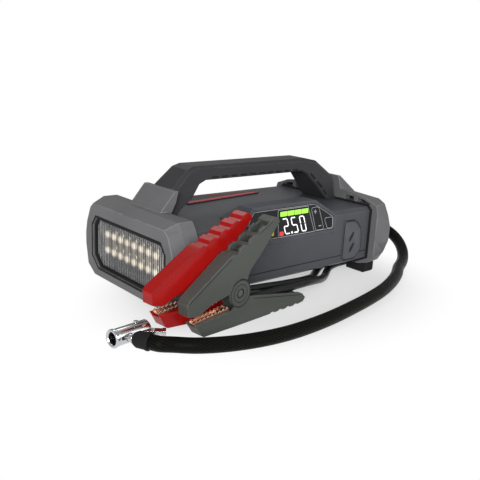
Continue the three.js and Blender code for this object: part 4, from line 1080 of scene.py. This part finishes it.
def rib_openings(turned):
    """Four-sided blocks between the ribs of an upper arm's back, deep enough to open its top wall."""
    start, end = np.array(RIBS)
    way = (end - start) / np.linalg.norm(end - start)
    blocks = Part()
    for i, length in enumerate(OPENING_LENGTHS):
        first = OPENING_START + RIB_SPACING * i
        corners = rectangle(first, OPENING_LOW, first + length, OPENING_HIGH)
        outline = [start + far * way + rise * quarter_turned(way) for far, rise in corners]
        blocks.plate(outline, -OPENING_HALF, OPENING_HALF, lambda *place: turned(over(Y, 0, 1)(*place)))
    return placed("openings", blocks.mesh("openings"))


def dressed(node, finish):
    """Gives a solid its finish in its object's own slots."""
    obj = NODES[node]
    for slot in obj.material_slots:
        slot.link = "OBJECT"
        slot.material = FINISHES[finish]
    return obj


# ---------------------------------------------------------------- chuck
class PACK_OT_chuck(bpy.types.Operator):
    """Finish the tyre chuck, its lever and the sleeve on the end of the hose"""

    bl_idname = "pack.chuck"
    bl_label = "Tyre chuck"

    def execute(self, context):
        for node in ("chuck_body", "chuck_lever", "chuck_pin", "chuck_nipple"):
            rounded_copy(node, "chrome", 35)
        for node in ("chuck_seal", "hose_sleeve"):
            rounded_copy(node, "black_rubber", 35)
        return {"FINISHED"}


# ---------------------------------------------------------------- housing
FLAT_SOLIDS = {
    "slate_shell": "upper_shell lower_shell display_frame",
    "slate_rubber": "port_cover",
    "grey_bumper": "front_bumper rear_bumper",
    "handle_grey": "carry_handle",
    "dark_plastic": "grip_strip port_block",
    "inlay": "top_inlay",
    "display_glass": "display_window",
    "circuit_board": "display_board main_board",
    "key_black": "level_rocker pump_key",
    "key_yellow": "boost_key",
    "battery_wrap": "battery_pack",
    "cast_alloy": "pump_head",
    "lamp_board": "lamp_board",
    "lens": "lamp_lens",
    "black_rubber": "foot_front_near foot_front_far foot_rear_near foot_rear_far",
}
ROUND_SOLIDS = {
    "reflector": "lamp_reflector",
    "steel_can": "pump_motor",
    "black_rubber": "hose_boot black_lead_boot red_lead_boot",
    "dark_steel": "shell_screw_1 shell_screw_2 shell_screw_3 shell_screw_4",
}


class PACK_OT_housing(bpy.types.Operator):
    """Finish the shells, bumpers, handle, feet and inner pieces"""

    bl_idname = "pack.housing"
    bl_label = "Housing"

    def execute(self, context):
        for solids, finished in ((FLAT_SOLIDS, dressed), (ROUND_SOLIDS, rounded_copy)):
            for slot, nodes in solids.items():
                for node in nodes.split():
                    finished(node, slot)
        return {"FINISHED"}


# ---------------------------------------------------------------- lamp
DIODE_RADIUS, DIODE_HEIGHT = 1.9, 1.5


class PACK_OT_lamp(bpy.types.Operator):
    """Set the lamp's diodes into its reflector, and lay black bands of painted shade round its lens, inside the lamp's
    opening and on its rim
    """

    bl_idname = "pack.lamp"
    bl_label = "Lamp"

    def execute(self, context):
        rows, columns = 7, 16
        dome = self.dome(rows, columns)
        diodes = Part()
        for z in LED_ROWS:
            for i in range(LED_COLUMNS):
                y = (i - (LED_COLUMNS - 1) / 2) * LED_PITCH
                diodes.grid(dome + (BOARD_FRONT - 0.1, y, z), rows, columns, caps=True)
        diodes.made("lamp_diodes", "pack", "diode", "lamp_board", 80)
        # painted shade: black bands inside the lamp's opening and on its rim stand in for the shade on the recess
        # walls round the lens
        recess_shade = Part().band(offset(LAMP_OPENING, -1.3), 2.6, 0.1, 2.6, in_front_of_lens)
        rim = LENS_FACE - LAMP_FACE
        recess_shade.band(offset(LAMP_OPENING, 1.0), 2.2, rim + CLEAR, rim + 0.3, in_front_of_lens)
        recess_shade.made("lens_seal", "pack", "black_rubber")
        return {"FINISHED"}

    @staticmethod
    def dome(rows, columns):
        """The front of a diode, (-h sin u, r cos u cos a, r cos u sin a) for u from 0 to a quarter
        turn, on a short foot."""
        u = np.linspace(0, np.pi / 2, rows)[:, None]
        a = np.linspace(0, 2 * np.pi, columns, endpoint=False)[None, :]
        wide = DIODE_RADIUS * np.cos(u)
        points = np.stack(np.broadcast_arrays(-DIODE_HEIGHT * np.sin(u), wide * np.cos(a), wide * np.sin(a)), -1)
        return np.concatenate([points[:1] + (0.4, 0, 0), points[:-1]]).reshape(-1, 3)


# ---------------------------------------------------------------- display
LCD = [(-22.5, 88.2), (19.6, 88.4), (29.2, 61.2), (-22, 61.2)]
WINDOW = [(-42, 60.6), (58.9, 60.6), (58.3, 74), (29.7, 90.1), (-54, 90.1), (-61.6, 78.8)]
ROCKER = [(32.1, 63), (42.4, 63), (34.8, 85), (25.7, 85)]
PUMP_KEY = [(50, 63.2), (55.4, 63.2), (55.8, 72), (46, 72)]
SEGMENTS = {
    "0": "abcdef", "1": "bc", "2": "abged", "3": "abgcd", "4": "fgbc",
    "5": "afgcd", "6": "afgedc", "7": "abc", "8": "abcdefg", "9": "abcdfg",
}
DIGIT_WIDTH, DIGIT_HEIGHT, STROKE, DIGIT_GAP, POINT = 6.2, 15.2, 1.15, 5.5, 2.0
TIP_GAP = 0.25
DIGITS_AT = (-12.0, 63.8)
SLANT = -0.3
LEVEL_BAR, BAR_GAP = (-19.3, 81.6, 20.4, 86.2), 0.7
CHARGE_SIGN = [(-20.4, 62.6), (-14.8, 62.6), (-15.2, 66.8), (-20.6, 66.8)]
PLUS, MINUS = (30.2, 81.6), (37.4, 66.2)
KEY_FACE = -0.2


def strokes(text, x, z):
    """The bars of the digits of a text, as outlines. A bar has pointed ends."""
    w, h, s = DIGIT_WIDTH, DIGIT_HEIGHT, STROKE
    half = h / 2
    bars = {
        "a": ((0, h), (w, h)), "g": ((0, half), (w, half)), "d": ((0, 0), (w, 0)),
        "f": ((0, half), (0, h)), "b": ((w, half), (w, h)), "e": ((0, 0), (0, half)), "c": ((w, 0), (w, half)),
    }
    found = []
    for sign in text:
        if sign == ".":
            at, low = x - (DIGIT_GAP + POINT) / 2, z - s / 2
            found.append(rectangle(at, low, at + POINT, low + POINT))
            continue
        for name in SEGMENTS[sign]:
            ends = np.array(bars[name], float) + (x, z)
            way = (ends[1] - ends[0]) / np.linalg.norm(ends[1] - ends[0])
            side = quarter_turned(way) * s / 2
            ends += np.outer([TIP_GAP, -TIP_GAP], way)
            inner = ends + np.outer([s / 2, -s / 2], way)
            found.append([ends[0], inner[0] - side, inner[1] - side, ends[1], inner[1] + side, inner[0] + side])
        x += w + DIGIT_GAP
    return found


def slanted(outline, low):
    """The outline leaned as the right side of the display leans: x moves by the slant times the height."""
    p = np.asarray(outline, float)
    return np.stack([p[:, 0] + (p[:, 1] - low) * SLANT, p[:, 1]], 1)


class PACK_OT_display(bpy.types.Operator):
    """Light the digits and the level bar, and draw the lines and signs round the keys"""

    bl_idname = "pack.display"
    bl_label = "Display"

    def execute(self, context):
        marks = context.scene.pack_marks
        raised = (0.03 - WINDOW_SUNK, 0.2 - WINDOW_SUNK)
        digits = Part()
        for outline in strokes(marks.digits, *DIGITS_AT):
            digits.plate(slanted(outline, DIGITS_AT[1]), *raised, on_pod)
        digits.made("display_digits", "pack", "white_light", "display_glass", 30)
        bar = Part()
        left, low, right, high = LEVEL_BAR
        wide = (right - left) / marks.bars
        for i in range(marks.bars):
            block = rectangle(left + wide * i, low, left + wide * (i + 1) - BAR_GAP, high)
            bar.plate(rounded(block, 0.5, 3), *raised, on_pod)
        bar.made("level_bar", "pack", "green_light", "display_glass", 30)
        sign = Part().plate(rounded(CHARGE_SIGN, 0.6, 3), *raised, on_pod)
        sign.made("charge_sign", "pack", "red_light", "display_glass", 30)
        lines = Part()
        for outline, radius, outside in ((LCD, 2.2, 0), (WINDOW, 2.0, -0.8), (ROCKER, 1.5, 1.0), (PUMP_KEY, 1.2, 1.3)):
            lines.band(offset(rounded(outline, radius), outside), marks.line / MM, *raised, on_pod)
        lines.made("display_lines", "pack", "mark", "display_glass")
        signs = Part()
        for (x, z), half, rise in (
            (PLUS, 2.1, 0.45),
            ((PLUS[0], PLUS[1] + 1.35), 0.45, 0.85),
            ((PLUS[0], PLUS[1] - 1.35), 0.45, 0.85),
            (MINUS, 2.1, 0.45),
        ):
            signs.plate(rectangle(x - half, z - rise, x + half, z + rise), KEY_FACE + CLEAR, KEY_FACE + 0.16, on_pod)
        signs.made("rocker_signs", "rocker", "mark", "key_black", 30)
        return {"FINISHED"}


# ---------------------------------------------------------------- trim
COVER = [(76, 21.5), (99, 22), (107.5, 31), (105.5, 55), (95, 66), (76, 66.5)]
DENTS, DENT_HALVES, DENT_LEAN = ((89.6, 47.6), (91.2, 35.2)), (6.2, 2.1), 58
INLAY = [(-56, 30), (54, 43.5), (61, 49), (54, 54.5), (-56, 65)]
STRIPE = [(-54, 33), (51, 45.6), (55.5, 49), (51, 50.2), (-54, 38.5)]
JOINT_RUNS = ((-121.2, 75.4, -1), (106, 117.8, -1), (-121.2, 117.8, 1))
LEG_SLOTS = ((0.06, 0.42), (0.58, 0.98), (1.16, 1.6))
GRIP_SLOTS, GRIP_SLOT = (-62, 58, 12.5), 8.5
VENT_INSET = 0.4


def oval(middle, long, short, lean):
    """An ellipse, (u, w) = (long cos t, short sin t), leaned by an angle in degrees."""
    t = np.linspace(0, 2 * np.pi, 24, endpoint=False)
    along = heading(lean)
    return middle + np.outer(long * np.cos(t), along) + np.outer(short * np.sin(t), quarter_turned(along))


class PACK_OT_trim(bpy.types.Operator):
    """Raise the cover's rim, lay the stripe on the inlay, draw the seams, and paint shade into the cover's finger
    dents, the handle's slots and the rear vents
    """

    bl_idname = "pack.trim"
    bl_label = "Trim"

    def execute(self, context):
        cover = rounded(COVER, 5)
        rim = Part().band(offset(cover, -1.9), 1.2, CLEAR, 0.6, on_cover)
        rim.made("cover_trim", "cover", "slate_rubber", smooth=50)
        # a dark line round the cover's joint, and dark ovals of painted shade in its two finger dents
        joint_line_and_dent_shades = Part().band(offset(cover, -0.6), 1.3, 0.01, 0.08, on_cover)
        for middle in DENTS:
            joint_line_and_dent_shades.plate(oval(middle, *DENT_HALVES, DENT_LEAN), 0.01, 0.05, on_cover)
        joint_line_and_dent_shades.made("cover_dents", "cover", "dark_plastic", "slate_rubber", 50)
        red = Part().plate(STRIPE, CLEAR, 0.16, on_inlay).band(offset(INLAY, -1.6), 1.2, CLEAR, 0.2, on_inlay)
        red.made("top_stripe", "pack", "stripe", "inlay", 30)
        seam = Part().band(offset(BODY_SECTION, 0.7), 2.6, CLEAR, 1.9, behind_body)
        seam.made("rear_seam", "pack", "black_rubber")
        joint, (low, high) = Part(), SHELL_JOINT
        for left, right, side in JOINT_RUNS:
            joint.plate(rectangle(left, low, right, high), *INK, over(Y, side * FLANK, side))
        joint.made("shell_joint", "pack", "dark_plastic")
        # painted shade: dark strips on the handle's rear leg and under its grip stand in for the shade in recessed
        # slots
        slot_shades = Part()
        for top, bottom in LEG_SLOTS:
            slot_shades.plate(rounded(rectangle(top, 0.1, bottom, 0.22), 0.03, 3), CLEAR, 0.1, on_leg)
        for x in np.arange(*GRIP_SLOTS):
            slot_shades.plate(rectangle(x, 113.9, x + GRIP_SLOT, 115.3), CLEAR, 0.1, on_grip)
        slot_shades.made("handle_slots", "pack", "black_rubber", "dark_plastic")
        # painted shade: black plates deep in the rear vents stand in for the dark inside of the openings
        vent_shades = Part()
        for roof in VENT_ROOFS:
            start, end = roof[0][0] + VENT_INSET, roof[-1][0] - VENT_INSET
            outline = np.array([(start, VENT_FLOOR), *((y, z - VENT_INSET) for y, z in roof), (end, VENT_FLOOR)])
            for side in (-1, 1):
                vent_shades.plate(outline * (side, 1), 1.5 - VENT_DEPTH, 0.1 - VENT_DEPTH, behind_body)
        vent_shades.made("vent_backs", "pack", "black_rubber", "dark_plastic", 30)
        return {"FINISHED"}


# ---------------------------------------------------------------- the panel
class PACK_PT_panel(bpy.types.Panel):
    """Lists the pieces in the order in which they are made, and their sizes and colours"""

    bl_idname = "PACK_PT_panel"
    bl_label = "Jump Starter"
    bl_space_type = "VIEW_3D"
    bl_region_type = "UI"
    bl_category = "Jump Starter"

    def draw(self, context):
        for operator in OPERATORS:
            self.layout.operator(operator.bl_idname)
        for name in PROPERTIES:
            box = self.layout.box()
            group = getattr(context.scene, name)
            for prop in group.bl_rna.properties:
                if prop.identifier not in ("name", "rna_type"):
                    box.prop(group, prop.identifier)


OPERATORS = (
    PACK_OT_stage, PACK_OT_finishes, PACK_OT_clamps, PACK_OT_chuck, PACK_OT_cords,
    PACK_OT_housing, PACK_OT_lamp, PACK_OT_display, PACK_OT_trim,
)
PROPERTIES = {"pack_colours": PackColours, "pack_cords": PackCords, "pack_marks": PackMarks}


def register():
    for group in (*PROPERTIES.values(), *OPERATORS, PACK_PT_panel):
        bpy.utils.register_class(group)
    for name, group in PROPERTIES.items():
        setattr(bpy.types.Scene, name, bpy.props.PointerProperty(type=group))


def unregister():
    for name in PROPERTIES:
        delattr(bpy.types.Scene, name)
    for group in reversed((*PROPERTIES.values(), *OPERATORS, PACK_PT_panel)):
        bpy.utils.unregister_class(group)


def main():
    register()
    for operator in OPERATORS:
        family, name = operator.bl_idname.split(".")
        getattr(getattr(bpy.ops, family), name)()


if __name__ == "__main__":
    main()
